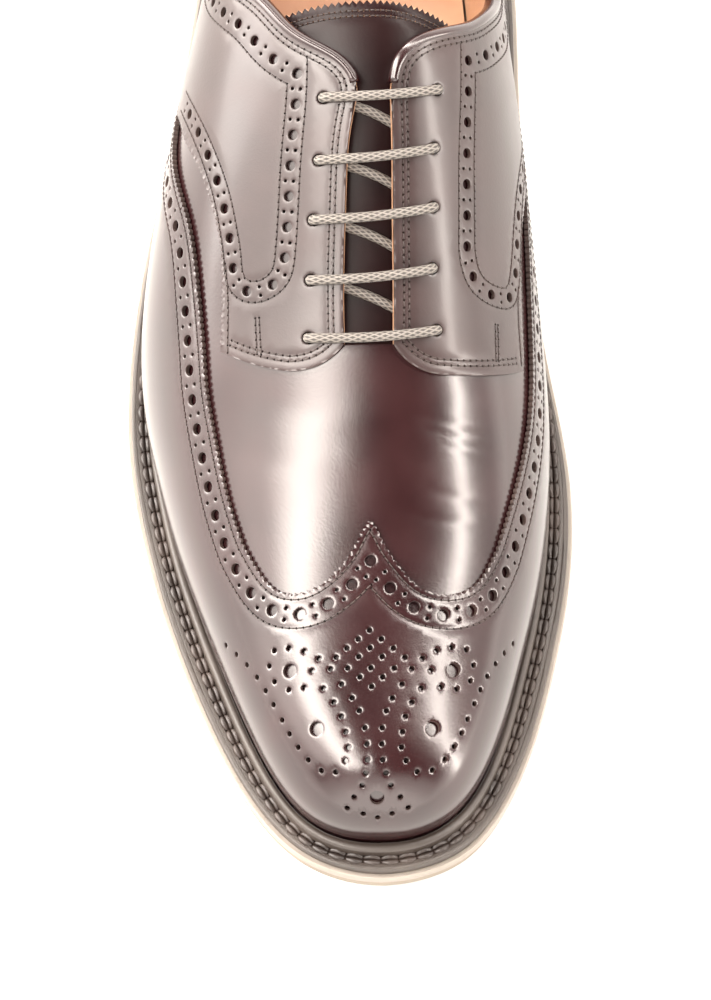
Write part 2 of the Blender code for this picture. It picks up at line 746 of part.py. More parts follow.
def quarter_cutter(side, cutters):
    """Area of one quarter: facing, side panel and back part up to the seam at the heel."""
    station = column(QUARTER, QUARTER_COLUMNS, "station")
    top = column(QUARTER, QUARTER_COLUMNS, side + "_top")
    low = column(QUARTER, QUARTER_COLUMNS, side + "_low")
    stations, angles = strip_grid(station, top, low, *QUARTER_GRID)
    share = np.linspace(0.0, 1.0, angles.shape[1])
    fade = np.clip(1.0 - (stations[:, 0] - station[0]) / FACING_FADE, 0.0, 1.0)
    stations = stations + fade[:, None] * FACING_SWEEP * (share ** 2)[None, :]
    return patch("quarter_cutter_" + side, stations, angles, *QUARTER_CUT, cutters)


def make_tongue(shoe, leather):
    """A thick sheet under the facings that rises to the vamp's lining at its lower end."""
    columns = [column(TONGUE_ROWS, TONGUE_COLUMNS, name) for name in TONGUE_COLUMNS]
    station, medial, lateral, depth = columns
    stations, angles = strip_grid(station, medial, lateral, *TONGUE_GRID)
    deep = fair_cubic(station, depth)(stations[:, :1])
    patch("tongue", stations, angles, -deep, -deep - TONGUE, shoe, leather)


def make_insole(shoe, tan):
    """The insole lies on the midsole inside the wall."""
    lower = last_ring(GAP, WALL_IN - INSOLE_GAP)
    upper = lower.copy()
    upper[:, 2] += INSOLE
    plank("insole", [lower, upper], shoe, tan)


def make_lace_bars(shoe, cord):
    """Five straight bars over the facings, each dipping a little towards the toe in its middle."""
    radius = LACE / 2.0
    for number, row in enumerate(LACES, start=1):
        share = np.linspace(0.0, 1.0, LACE_POINTS)
        dip = 4.0 * share * (1.0 - share)
        station = row[0] + (row[2] - row[0]) * share - LACE_BOW * dip
        angle = np.radians(row[1] + (row[3] - row[1]) * share)
        lift = radius + LACE_CLEAR - LACE_DIP * dip ** 8
        path = on_last(walk_of(station), angle, lift)
        curve = bpy.data.curves.new("lace_bar_%d" % number, "CURVE")
        curve.dimensions = "3D"
        curve.bevel_depth = radius * MM
        curve.bevel_resolution = 2
        curve.use_fill_caps = True
        spline = curve.splines.new("POLY")
        spline.points.add(len(path) - 1)
        for point, place in zip(spline.points, path):
            point.co = (*world(place), 1.0)
        curve.materials.append(cord)
        shoe.objects.link(bpy.data.objects.new("lace_bar_%d" % number, curve))


def main():
    for thing in list(bpy.data.objects):
        bpy.data.objects.remove(thing, do_unlink=True)
    shoe = make_collection("longwing_brogue")
    cutters = make_collection("cutters")
    leather = colour_of("oxblood_leather", (0.045, 0.012, 0.014), 0.22)
    lining = colour_of("tan_lining", (0.42, 0.24, 0.13), 0.6)
    cord = colour_of("waxed_lace", (0.16, 0.12, 0.10), 0.7)
    dark_welt = colour_of("dark_welt", (0.035, 0.024, 0.018), 0.55)
    cream = colour_of("cream_sole_edge", (0.58, 0.48, 0.36), 0.6)
    rubber = colour_of("grey_beige_rubber", (0.30, 0.25, 0.19), 0.75)
    stack = colour_of("heel_stack", (0.10, 0.055, 0.035), 0.5)
    make_bottom(shoe, rubber, cream, dark_welt, stack)
    make_upper(shoe, cutters, leather)
    make_insole(shoe, lining)
    make_tongue(shoe, leather)
    make_lace_bars(shoe, cord)


main()
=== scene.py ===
# %% [markdown]
# # A longwing brogue, panel by panel
# The shoe is a derby: two quarters with their facings lie over the vamp and are laced across the
# tongue, and a long wing runs from the point on the toe round both sides to the heel. The packed
# model already has every piece at its true size. This lesson dresses it with leather, stitches,
# perforations and a welted edge, always on the same last that the solids were made from.

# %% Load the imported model
import math

import bmesh
import bpy
import numpy as np
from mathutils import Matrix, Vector
from mathutils.geometry import delaunay_2d_cdt
from mathutils.kdtree import KDTree


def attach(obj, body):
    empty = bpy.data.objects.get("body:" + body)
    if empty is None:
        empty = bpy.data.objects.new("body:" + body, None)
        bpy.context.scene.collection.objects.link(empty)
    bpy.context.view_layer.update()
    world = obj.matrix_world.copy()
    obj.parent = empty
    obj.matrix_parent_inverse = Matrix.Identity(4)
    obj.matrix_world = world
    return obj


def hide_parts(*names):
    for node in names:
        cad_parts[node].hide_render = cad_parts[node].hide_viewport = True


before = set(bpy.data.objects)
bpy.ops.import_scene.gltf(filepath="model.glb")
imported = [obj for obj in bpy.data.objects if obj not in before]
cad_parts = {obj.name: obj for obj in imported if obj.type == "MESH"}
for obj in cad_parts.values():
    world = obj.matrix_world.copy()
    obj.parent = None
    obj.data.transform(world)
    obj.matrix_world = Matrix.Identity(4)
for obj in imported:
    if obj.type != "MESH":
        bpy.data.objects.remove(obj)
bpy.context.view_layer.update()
MM = 0.001
print("solids in the packed model:", len(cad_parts))

# %% [markdown]
# ## Camera, floor and light
# The shoe is seen from in front and high above, through a long lens, so its toe points down the
# picture. Polished leather shows what stands round it, so the studio is drawn in the world's shader
# as brightness over direction: a dark ceiling, a long bright panel leaning over each side, pale walls
# beyond the panels and a pale front. The panels give the two long gleams, and the dark ceiling gives
# the deep red between them. One small card lights the outer quarter.

# %% Camera
ELEVATION = math.radians(64.0)
CAMERA_DISTANCE = 1.0
LOOK_AT = Vector((0.00175, -0.0422, 0.0))

camera_data = bpy.data.cameras.new("camera")
camera_data.sensor_width = 36.0
camera_data.lens = 140.04
camera = bpy.data.objects.new("camera", camera_data)
camera.location = LOOK_AT + CAMERA_DISTANCE * Vector((0.0, -math.cos(ELEVATION), math.sin(ELEVATION)))
camera.rotation_euler = (math.pi / 2.0 - ELEVATION, 0.0, 0.0)
bpy.context.scene.collection.objects.link(camera)
bpy.context.scene.camera = camera
bpy.context.scene.view_settings.view_transform = "Standard"
print("camera height in metres:", round(camera.location.z, 3))


# %% Floor
def plain_material(name, colour, roughness):
    material = bpy.data.materials.new(name)
    material.use_nodes = True
    shader = material.node_tree.nodes["Principled BSDF"]
    shader.inputs["Base Color"].default_value = (*colour, 1.0)
    shader.inputs["Roughness"].default_value = roughness
    return material


FLOOR_HALF = 3.0
FLOOR_GLOW = 0.4
floor_mesh = bpy.data.meshes.new("floor")
corners = [(x * FLOOR_HALF, y * FLOOR_HALF, 0.0) for x, y in ((-1, -1), (1, -1), (1, 1), (-1, 1))]
floor_mesh.from_pydata(corners, [], [(0, 1, 2, 3)])
floor_white = plain_material("floor_white", (0.5, 0.5, 0.49), 0.9)
floor_shader = floor_white.node_tree.nodes["Principled BSDF"]
floor_shader.inputs["Emission Color"].default_value = (1.0, 0.99, 0.97, 1.0)
floor_shader.inputs["Emission Strength"].default_value = FLOOR_GLOW
floor_mesh.materials.append(floor_white)
floor = bpy.data.objects.new("floor", floor_mesh)
bpy.context.scene.collection.objects.link(floor)

# %% Studio walls and lights
world = bpy.data.worlds.new("studio")
bpy.context.scene.world = world
world.use_nodes = True
studio = world.node_tree
background = studio.nodes["Background"]
direction = studio.nodes.new("ShaderNodeTexCoord")
split = studio.nodes.new("ShaderNodeSeparateXYZ")
studio.links.new(direction.outputs["Generated"], split.inputs[0])


def world_maths(operation, first, second):
    """One step of arithmetic on the direction of a ray."""
    node = studio.nodes.new("ShaderNodeMath")
    node.operation = operation
    for socket, source in zip(node.inputs, (first, second)):
        if isinstance(source, bpy.types.NodeSocket):
            studio.links.new(source, socket)
        else:
            socket.default_value = source
    return node.outputs[0]


def world_range(source, low, high, new_low, new_high):
    """A smooth change from one level to another between two values."""
    node = studio.nodes.new("ShaderNodeMapRange")
    node.interpolation_type = "SMOOTHERSTEP"
    studio.links.new(source, node.inputs["Value"])
    for label, number in (("From Min", low), ("From Max", high), ("To Min", new_low), ("To Max", new_high)):
        node.inputs[label].default_value = number
    return node.outputs["Result"]


def soft_steps(source, reach, stops):
    """A soft ramp of brightness over a direction that runs from 0 to its reach."""
    ramp_node = studio.nodes.new("ShaderNodeValToRGB")
    studio.links.new(world_maths("DIVIDE", source, reach), ramp_node.inputs["Fac"])
    ramp = ramp_node.color_ramp
    while len(ramp.elements) < len(stops):
        ramp.elements.new(0.5)
    for element, (place, level) in zip(ramp.elements, stops):
        element.position = place / reach
        element.color = (level, level, level, 1.0)
    ramp.interpolation = "EASE"
    return ramp_node.outputs["Color"]


def side_of_studio(across, lean, stops, middle, half_width, level):
    """One wall of the studio and the long bright panel that hangs over it."""
    line = world_maths("ADD", world_maths("MULTIPLY", split.outputs["X"], across),
                       world_maths("MULTIPLY", split.outputs["Y"], lean))
    away = world_maths("ABSOLUTE", world_maths("SUBTRACT", line, middle), 0.0)
    panel = world_range(away, 0.0, half_width, level, 0.0)
    wall = soft_steps(world_maths("MAXIMUM", line, 0.0), SIDE_REACH, stops)
    return world_maths("ADD", wall, panel)


# Each stop is a place along the direction and the brightness there
SIDE_REACH = 1.6
SIDES_FADE = (0.38, 0.58)
LEFT_STOPS = (
    (0.0, 0.02), (0.22, 0.03), (0.36, 1.5), (0.5, 4.6), (0.75, 4.2), (0.9, 5.4), (1.05, 3.0), (1.6, 2.6),
)
RIGHT_STOPS = (
    (0.0, 0.02), (0.40, 0.06), (0.5, 0.6), (0.7, 1.9), (0.95, 1.5), (1.1, 1.5), (1.3, 3.6), (1.6, 3.6),
)
FRONT_STOPS = ((0.0, 0.0), (0.5, 0.0), (0.7, 2.4), (0.9, 4.4), (1.0, 4.4))
LOW_STOPS = ((0.0, 4.0), (0.12, 3.2), (0.34, 0.6), (0.5, 0.1), (0.75, 0.0), (1.0, 0.0))
sides = world_maths(
    "MAXIMUM",
    side_of_studio(-1.0, -0.6, LEFT_STOPS, 0.54, 0.27, 17.0),
    side_of_studio(1.0, 1.2, RIGHT_STOPS, 0.57, 0.13, 30.0),
)
forward = world_maths("MULTIPLY", split.outputs["Y"], -1.0)
sides = world_maths("MULTIPLY", sides, world_range(forward, *SIDES_FADE, 1.0, 0.0))
sides = world_maths("MULTIPLY", sides, world_maths("GREATER_THAN", split.outputs["Z"], 0.0))
front = soft_steps(world_maths("MAXIMUM", forward, 0.0), 1.0, FRONT_STOPS)
low = soft_steps(world_maths("MAXIMUM", split.outputs["Z"], 0.0), 1.0, LOW_STOPS)
brightness = world_maths("MAXIMUM", world_maths("MAXIMUM", sides, front), low)
studio.links.new(brightness, background.inputs["Strength"])
background.inputs["Color"].default_value = (1.0, 0.925, 0.855, 1.0)


def softbox(name, place, aim, width, height, power):
    """A rectangular light that faces a point and stays out of the picture."""
    light = bpy.data.lights.new(name, "AREA")
    light.shape = "RECTANGLE"
    light.size = width
    light.size_y = height
    light.energy = power
    light.color = (1.0, 0.96, 0.92)
    thing = bpy.data.objects.new(name, light)
    thing.location = place
    thing.rotation_euler = (Vector(aim) - Vector(place)).to_track_quat("-Z", "Y").to_euler()
    thing.visible_camera = False
    bpy.context.scene.collection.objects.link(thing)
    return thing


softbox("left_card", (-0.46, 0.07, 0.26), (-0.04, 0.02, 0.07), 0.18, 0.3, 1.2)

# %% [markdown]
# ## The last, once more
# Shoemakers cut flat pieces and pull them over a last. The tables below are the sections of that
# last, the outline of the sole and the edges of the panels, in millimetres and degrees, exactly as in
# the solids. A point on the shoe is then a station and an angle, and every seam, hole and stitch can
# be drawn on this chart and lifted on to the leather.

# %% Sizes
# Driving sizes of the bottom
SOLE_LENGTH = 304.0
TOE_SPRING = 10.0
SPRING_START = 100.0
SHANK_START = 114.0
BREAST = 214.0
HEEL_HEIGHT = 25.0
TOP_PIECE = 6.0
OUTSOLE = 3.8
MIDSOLE = 2.9
WELT_FLANGE = 2.6
WELT_RIDGE = 3.2
WELT_STEP = 1.2
WELT_CLEAR = 0.5
OUTSOLE_STEP = 0.6
HEEL_TAPER = 1.4
GAP = 0.3

# Height of the midsole's upper face over a flat forefoot, where the upper's edge stands
BED = OUTSOLE + GAP + MIDSOLE

# Leather: the wing and the quarters lie on the vamp and lining, which are one hollow wall
OVERLAY = 1.2
WALL = 1.9
WALL_OUT = -(OVERLAY + GAP)
WALL_IN = WALL_OUT - WALL
INSOLE = 2.6
INSOLE_GAP = 0.8
TONGUE = 2.4
TONGUE_DEEP = 6.0
LACE = 2.4

TOE_BULGE = 1.6
TOE_BULGE_HEIGHT = 26.0
BACK_BULGE = 3.2
BACK_BULGE_HEIGHT = 50.0

# Sections of the last. station: distance from the sole's toe tip. lateral, medial: the widest line.
# spine: the middle line. girdle: the widest line's height above the bed. crest: the top above the
# floor over flat ground. depth: the lower half axis. fullness: how square the upper half is.
LAST_COLUMNS = ("station", "lateral", "medial", "spine", "girdle", "crest", "depth", "fullness")
LAST = (
    (8.6, 7.4, 7.4, 7.4, 0.0, 0.0, 0.0, 0.10),
    (10.2, -2.6, 17.0, 7.3, 4.8, 31.5, 11.0, 0.10),
    (14.4, -9.8, 24.6, 7.1, 8.4, 38.0, 19.0, 0.10),
    (21.0, -15.6, 30.2, 6.8, 10.6, 41.8, 24.0, 0.10),
    (30.0, -21.2, 35.0, 6.5, 12.2, 44.2, 28.0, 0.10),
    (42.0, -26.8, 39.2, 6.1, 13.4, 46.4, 31.0, 0.10),
    (56.0, -32.4, 42.8, 5.7, 14.2, 49.4, 33.0, 0.09),
    (72.0, -38.4, 46.6, 5.3, 15.0, 54.0, 34.0, 0.08),
    (88.0, -43.7, 49.1, 5.0, 15.8, 60.0, 35.0, 0.06),
    (104.0, -47.8, 50.4, 4.9, 16.8, 67.0, 36.0, 0.03),
    (120.0, -51.2, 50.5, 5.0, 18.0, 75.4, 37.0, 0.00),
    (138.0, -52.4, 49.2, 5.4, 19.8, 85.4, 39.0, -0.02),
    (156.0, -50.5, 47.0, 5.9, 21.6, 95.6, 41.0, -0.02),
    (174.0, -46.8, 44.9, 6.3, 23.0, 104.8, 43.0, 0.00),
    (192.0, -42.8, 42.6, 6.4, 24.0, 112.4, 45.0, 0.04),
    (210.0, -38.9, 40.4, 6.0, 24.4, 118.0, 46.0, 0.09),
    (228.0, -35.5, 39.6, 5.2, 24.4, 121.6, 46.0, 0.14),
    (246.0, -33.0, 38.2, 4.4, 24.4, 123.2, 45.0, 0.14),
    (262.0, -30.9, 35.8, 3.8, 24.4, 122.4, 43.0, 0.12),
    (276.0, -27.2, 31.9, 3.4, 23.0, 118.0, 40.0, 0.10),
    (286.5, -21.5, 26.6, 3.2, 20.2, 108.0, 35.0, 0.10),
    (294.0, -12.8, 18.2, 3.0, 15.0, 91.0, 27.0, 0.10),
    (298.0, -4.2, 9.8, 2.9, 8.0, 66.0, 14.0, 0.10),
    (299.2, 2.8, 2.8, 2.8, 0.0, 0.0, 0.0, 0.10),
)

# Outline of the sole, seen from above
SOLE_COLUMNS = ("station", "lateral", "medial")
SOLE = (
    (0.0, 8.0, 8.0),
    (1.6, -2.0, 17.8),
    (6.3, -11.6, 27.8),
    (16.0, -20.9, 36.2),
    (28.0, -28.3, 42.2),
    (44.0, -35.8, 47.7),
    (61.0, -42.4, 51.8),
    (78.0, -47.9, 55.1),
    (95.0, -52.3, 56.8),
    (112.0, -55.5, 56.6),
    (129.0, -56.9, 54.4),
    (146.0, -56.2, 51.0),
    (165.0, -53.2, 47.8),
    (185.0, -48.8, 45.6),
    (205.0, -45.2, 44.6),
    (225.0, -42.3, 44.4),
    (245.0, -39.9, 43.9),
    (262.0, -37.0, 41.8),
    (277.0, -32.0, 37.0),
    (289.0, -24.6, 30.0),
    (298.0, -14.5, 20.3),
    (302.6, -5.0, 11.0),
    (304.0, 3.0, 3.0),
)

# Edges of the collar and of the slit between the facings, as angles round the last in degrees:
# 0 is the medial widest line, 90 the top and 180 the lateral widest line
OPENING_COLUMNS = ("station", "medial", "lateral")
OPENING = (
    (116.0, 82.2, 96.2),
    (130.0, 82.2, 96.6),
    (146.0, 82.6, 96.6),
    (160.0, 83.0, 96.2),
    (169.0, 83.6, 94.6),
    (174.0, 82.6, 96.4),
    (178.0, 79.6, 101.4),
    (183.0, 70.0, 110.6),
    (189.0, 53.0, 118.0),
    (196.0, 40.0, 126.0),
    (206.0, 27.6, 139.4),
    (218.0, 23.4, 150.2),
    (232.0, 23.0, 156.0),
    (248.0, 25.2, 155.0),
    (264.0, 29.2, 150.8),
    (277.0, 36.2, 143.8),
    (286.0, 47.0, 133.0),
    (291.0, 63.0, 117.0),
    (292.6, 82.0, 98.0),
)

# Upper edge of the wing along both sides, from its front lobes to the heel
WING_COLUMNS = ("station", "medial", "lateral")
WING = (
    (74.4, 44.0, 131.4),
    (85.5, 39.0, 133.7),
    (100.0, 32.4, 135.2),
    (112.0, 28.2, 136.2),
    (124.0, 25.8, 136.2),
    (140.0, 22.6, 138.7),
    (155.0, 17.6, 145.4),
    (171.0, 12.4, 158.6),
    (186.0, 8.4, 168.6),
    (200.0, 6.0, 174.0),
    (216.0, 4.8, 175.8),
    (240.0, 4.6, 175.6),
    (262.0, 5.4, 174.6),
    (276.0, 8.2, 171.8),
    (286.5, 15.0, 165.0),
    (294.0, 26.5, 153.5),
    (296.0, 39.5, 140.5),
    (297.1, 56.0, 124.0),
    (297.7, 78.0, 102.0),
)

# Front edge of the wing between its two sides: how far each angle reaches towards the heel
WING_FRONT_COLUMNS = ("angle", "station")
WING_FRONT = (
    (44.0, 74.4),
    (49.0, 67.4),
    (56.0, 62.8),
    (64.0, 61.2),
    (71.0, 61.6),
    (77.0, 64.0),
    (82.0, 68.0),
    (86.0, 72.6),
    (90.0, 77.2),
    (94.0, 72.6),
    (98.0, 68.0),
    (104.0, 64.0),
    (111.0, 61.6),
    (118.0, 61.6),
    (124.0, 64.0),
    (128.0, 68.4),
    (131.4, 74.4),
)

# Each quarter between its facing edge and its lower edge, which runs under the wing at the back
QUARTER_COLUMNS = ("station", "medial_top", "medial_low", "lateral_top", "lateral_low")
QUARTER = (
    (110.4, 77.0, 33.0, 101.4, 130.4),
    (112.4, 80.6, 32.6, 98.0, 130.2),
    (116.0, 82.2, 32.2, 96.4, 129.8),
    (127.0, 82.2, 31.6, 96.6, 129.4),
    (140.0, 82.4, 29.6, 96.6, 131.0),
    (154.0, 82.8, 23.6, 96.4, 136.8),
    (164.0, 83.2, 16.4, 95.6, 143.4),
    (172.0, 84.0, 9.0, 94.4, 151.0),
    (182.0, 89.4, 2.0, 90.6, 162.0),
    (192.0, 89.4, -4.0, 90.6, 176.0),
    (216.0, 89.4, -6.0, 90.6, 186.0),
    (250.0, 89.4, -6.0, 90.6, 186.0),
    (276.0, 89.4, -6.0, 90.6, 186.0),
    (292.0, 89.4, 0.0, 90.6, 180.0),
    (297.7, 88.0, 20.0, 92.0, 160.0),
)
FACING_SWEEP = 9.0
WING_LAP = 0.7

# Ends of the five straight lace bars, lateral then medial
LACE_COLUMNS = ("lateral_station", "lateral_angle", "medial_station", "medial_angle")
LACES = (
    (117.9, 105.2, 120.3, 68.8),
    (130.2, 104.7, 133.4, 69.8),
    (142.8, 104.4, 146.4, 69.0),
    (155.2, 103.6, 158.9, 68.4),
    (168.4, 103.2, 171.6, 66.8),
)

# Tongue: its two side edges round the last and its depth under the outermost leather
TONGUE_COLUMNS = ("station", "medial", "lateral", "depth")
TONGUE_ROWS = (
    (101.0, 71.0, 109.0, 3.85),
    (107.0, 68.0, 112.0, 3.95),
    (114.0, 65.0, 114.0, 4.9),
    (122.0, 63.0, 115.0, TONGUE_DEEP),
    (145.0, 59.0, 117.0, TONGUE_DEEP),
    (165.0, 53.0, 120.0, TONGUE_DEEP),
    (180.0, 46.0, 123.0, TONGUE_DEEP),
    (188.0, 43.0, 124.0, TONGUE_DEEP),
    (190.5, 46.0, 121.0, TONGUE_DEEP),
)

END_WEIGHT = 0.4

# How far the tables' curves are eased for an even shine
LAST_STIFFNESS = 60.0
SOLE_STIFFNESS = 20.0


# %% Surface of the last
def column(rows, names, name):
    place = names.index(name)
    return np.array([row[place] for row in rows], float)


def fair_cubic(knots, values, stiffness=0.0):
    """A natural cubic spline through the values, or past them by a little where it is stiff."""
    knots = np.asarray(knots, float)
    values = np.asarray(values, float)
    count = len(knots)
    step = np.diff(knots)
    slope = np.zeros((count, count - 2))
    band = np.zeros((count - 2, count - 2))
    for i in range(count - 2):
        slope[i, i] = 1.0 / step[i]
        slope[i + 1, i] = -1.0 / step[i] - 1.0 / step[i + 1]
        slope[i + 2, i] = 1.0 / step[i + 1]
        band[i, i] = (step[i] + step[i + 1]) / 3.0
        if i:
            band[i - 1, i] = step[i] / 6.0
            band[i, i - 1] = step[i] / 6.0
    inner = np.linalg.solve(band + stiffness * slope.T @ slope, slope.T @ values)
    values = values - stiffness * slope @ inner
    bend = np.concatenate([[0.0], inner, [0.0]])

    def curve(place):
        place = np.asarray(place, float)
        i = np.clip(np.searchsorted(knots, place) - 1, 0, count - 2)
        width = knots[i + 1] - knots[i]
        a = (knots[i + 1] - place) / width
        b = (place - knots[i]) / width
        cubic = ((a ** 3 - a) * bend[i] + (b ** 3 - b) * bend[i + 1]) * width * width / 6.0
        return a * values[i] + b * values[i + 1] + cubic

    return curve


def walk_knots(rows, names):
    """Distance walked along the mean half outline, used to place every section."""
    station = column(rows, names, "station")
    half = (column(rows, names, "medial") - column(rows, names, "lateral")) / 2.0
    steps = np.hypot(np.diff(station), np.diff(half))
    return np.concatenate([[0.0], np.cumsum(steps)])


def round_ended(knots, values, partner, stiffness):
    """A curve that runs on into its partner past the toe and the heel, so both ends are round."""
    reach = 5
    end = knots[-1]
    before = -knots[reach:0:-1]
    after = 2.0 * end - knots[-2:-2 - reach:-1]
    all_knots = np.concatenate([before, knots, after])
    all_values = np.concatenate([partner[reach:0:-1], values, partner[-2:-2 - reach:-1]])
    return fair_cubic(all_knots, all_values, stiffness)


def ease(share):
    """Smooth step from 0 to 1 without a kink in its bend."""
    share = np.clip(share, 0.0, 1.0)
    return share ** 3 * (share * (6.0 * share - 15.0) + 10.0)


def swelling(share):
    """Soft bump between 0 and 1 that is 1 in its middle."""
    share = np.clip(share, 0.0, 1.0)
    return (4.0 * share * (1.0 - share)) ** 2


def ground(station):
    """Height of the sole's lower face: toe spring, flat forefoot, then the shank up to the heel."""
    spring = TOE_SPRING * np.clip((SPRING_START - station) / SPRING_START, 0.0, None) ** 2
    shank = HEEL_HEIGHT * ease((station - SHANK_START) / (BREAST - 2.0 - SHANK_START))
    return spring + shank


def bed(station):
    return BED + ground(station)


last_knots = walk_knots(LAST, LAST_COLUMNS)
LAST_END = last_knots[-1]
last_station = column(LAST, LAST_COLUMNS, "station")
last_lateral = column(LAST, LAST_COLUMNS, "lateral")
last_medial = column(LAST, LAST_COLUMNS, "medial")
last_girdle = column(LAST, LAST_COLUMNS, "girdle")
last_depth = column(LAST, LAST_COLUMNS, "depth")
last_height = column(LAST, LAST_COLUMNS, "crest") - bed(last_station) - last_girdle
last_height[0] = 0.0
last_height[-1] = 0.0
last_spine = column(LAST, LAST_COLUMNS, "spine")
last_fullness = column(LAST, LAST_COLUMNS, "fullness")
station_at = round_ended(last_knots, last_station, last_station, LAST_STIFFNESS)
lateral_at = round_ended(last_knots, last_lateral, last_medial, LAST_STIFFNESS)
medial_at = round_ended(last_knots, last_medial, last_lateral, LAST_STIFFNESS)
spine_at = round_ended(last_knots, last_spine, last_spine, LAST_STIFFNESS)
girdle_at = round_ended(last_knots, last_girdle, -last_girdle, LAST_STIFFNESS)
height_at = round_ended(last_knots, last_height, -last_height, LAST_STIFFNESS)
depth_at = round_ended(last_knots, last_depth, -last_depth, LAST_STIFFNESS)
fullness_at = round_ended(last_knots, last_fullness, last_fullness, LAST_STIFFNESS)

FINE = np.linspace(0.0, LAST_END, 1200)
FINE_STATION = np.maximum.accumulate(station_at(FINE))


def walk_of(station):
    """Distance along the last at which a station lies."""
    return np.interp(station, FINE_STATION, FINE)


def last_surface(walk, angle):
    """Point of the outermost leather, in millimetres, for a distance along the last and an angle."""
    walk, angle = np.broadcast_arrays(np.asarray(walk, float), np.asarray(angle, float))
    spine = spine_at(walk)
    across = np.cos(angle)
    up = np.sin(angle)
    half = np.where(across >= 0.0, medial_at(walk) - spine, spine - lateral_at(walk))
    tall = np.where(up >= 0.0, height_at(walk), depth_at(walk))
    full = np.where(up > 0.0, fullness_at(walk), 0.0)
    x = spine + half * across * (1.0 + full * up * up)
    station = station_at(walk)
    rise = girdle_at(walk) + tall * up * (1.0 + full * across * across)
    z = bed(station) + rise
    toe = swelling(rise / TOE_BULGE_HEIGHT) * ease((45.0 - station) / 40.0)
    back = swelling(rise / BACK_BULGE_HEIGHT) * ease((station - 262.0) / 36.0)
    return np.stack([x, station - TOE_BULGE * toe + BACK_BULGE * back, z], axis=-1)


def last_normal(walk, angle):
    """Outward direction of the last's surface, by small steps along and around it."""
    walk = np.clip(walk, 0.6, LAST_END - 0.6)
    tiny = 0.001
    along = last_surface(walk + tiny, angle) - last_surface(walk - tiny, angle)
    around = last_surface(walk, angle + tiny) - last_surface(walk, angle - tiny)
    normal = np.cross(along, around)
    return normal / np.linalg.norm(normal, axis=-1, keepdims=True)


def on_last(walk, angle, offset):
    """Point at an offset along the normal: leather thickness is measured square to the surface."""
    offset = np.asarray(offset, float)[..., None]
    return last_surface(walk, angle) + offset * last_normal(walk, angle)


def end_heavy(count):
    """Shares from 0 to 1 that lie closer together at the toe and the heel, where the form turns."""
    even = np.linspace(0.0, 1.0, count)
    return (1.0 - END_WEIGHT) * even + END_WEIGHT * (1.0 - np.cos(math.pi * even)) / 2.0


def resample(points, count):
    """The same open path with fewer points, closer together at its ends."""
    steps = np.linalg.norm(np.diff(points, axis=0), axis=1)
    length = np.concatenate([[0.0], np.cumsum(steps)])
    places = length[-1] * end_heavy(count)
    return np.stack([np.interp(places, length, points[:, axis]) for axis in range(3)], axis=1)


def close_ring(lateral, medial):
    """One loop from the toe tip round the lateral side to the heel tip and back."""
    return np.concatenate([lateral, medial[-2:0:-1]])


def last_ring(rise, offset, side_count):
    """Level loop round the last at a rise above the bed."""
    top_rise = girdle_at(FINE) + height_at(FINE)
    inside = np.nonzero(top_rise > rise)[0]
    first = FINE[inside[0]]
    last = FINE[inside[-1]]
    share = np.linspace(0.0, 1.0, 400)
    walk = first + (last - first) * (1.0 - np.cos(np.pi * share)) / 2.0
    girdle = girdle_at(walk)
    tall = np.where(rise >= girdle, height_at(walk), depth_at(walk))
    full = np.where(rise > girdle, fullness_at(walk), 0.0)
    sine = np.zeros_like(walk)
    for _ in range(6):
        swell = 1.0 + full * (1.0 - sine * sine)
        sine = np.clip((rise - girdle) / np.maximum(tall * swell, 1e-6), -1.0, 1.0)
    angle = np.arcsin(sine)
    angle[0] = math.pi / 2.0 if rise > 0.0 else 0.0
    angle[-1] = angle[0]
    sides = []
    for turn in (math.pi - angle, angle):
        path = on_last(walk, turn, offset)
        path[0, 0] = spine_at(0.0)
        path[-1, 0] = spine_at(LAST_END)
        path[:, 2] = bed(path[:, 1]) + rise
        sides.append(resample(path, side_count + 1))
    return close_ring(*sides)


sole_knots = walk_knots(SOLE, SOLE_COLUMNS)
sole_station = column(SOLE, SOLE_COLUMNS, "station")
sole_lateral = column(SOLE, SOLE_COLUMNS, "lateral")
sole_medial = column(SOLE, SOLE_COLUMNS, "medial")
sole_station_at = round_ended(sole_knots, sole_station, sole_station, SOLE_STIFFNESS)
sole_lateral_at = round_ended(sole_knots, sole_lateral, sole_medial, SOLE_STIFFNESS)
sole_medial_at = round_ended(sole_knots, sole_medial, sole_lateral, SOLE_STIFFNESS)


def sole_sides(inset, start=0.0):
    """Both sides of the sole's outline, drawn in by an inset, from a station to the heel tip."""
    walk = np.linspace(0.0, sole_knots[-1], 500)
    sides = []
    for curve, outward in ((sole_lateral_at, -1.0), (sole_medial_at, 1.0)):
        path = np.stack([curve(walk), sole_station_at(walk), 0.0 * walk], axis=1)
        run = np.gradient(path, axis=0)
        run[0] = (outward, 0.0, 0.0)
        run[-1] = (-outward, 0.0, 0.0)
        run /= np.linalg.norm(run, axis=1, keepdims=True)
        path[:, 0] -= inset * outward * run[:, 1]
        path[:, 1] += inset * outward * run[:, 0]
        path[0, 1] = sole_station[0] + inset
        path[-1, 1] = sole_station[-1] - inset
        sides.append(path[path[:, 1] >= start])
    return sides


def sole_ring(inset, height, side_count):
    """Loop of the sole's edge at a height above its lower face."""
    ring = close_ring(*[resample(side, side_count + 1) for side in sole_sides(inset)])
    ring[:, 2] = ground(ring[:, 1]) + height
    return ring


def world_points(points):
    """From the shoe's millimetres to the frame's metres, with the middle of the sole at y = 0."""
    points = np.asarray(points, float)
    shifted = points - np.array([0.0, SOLE_LENGTH / 2.0, 0.0])
    return shifted * MM


print("length of the last in stations:", round(float(station_at(LAST_END) - station_at(0.0)), 1))

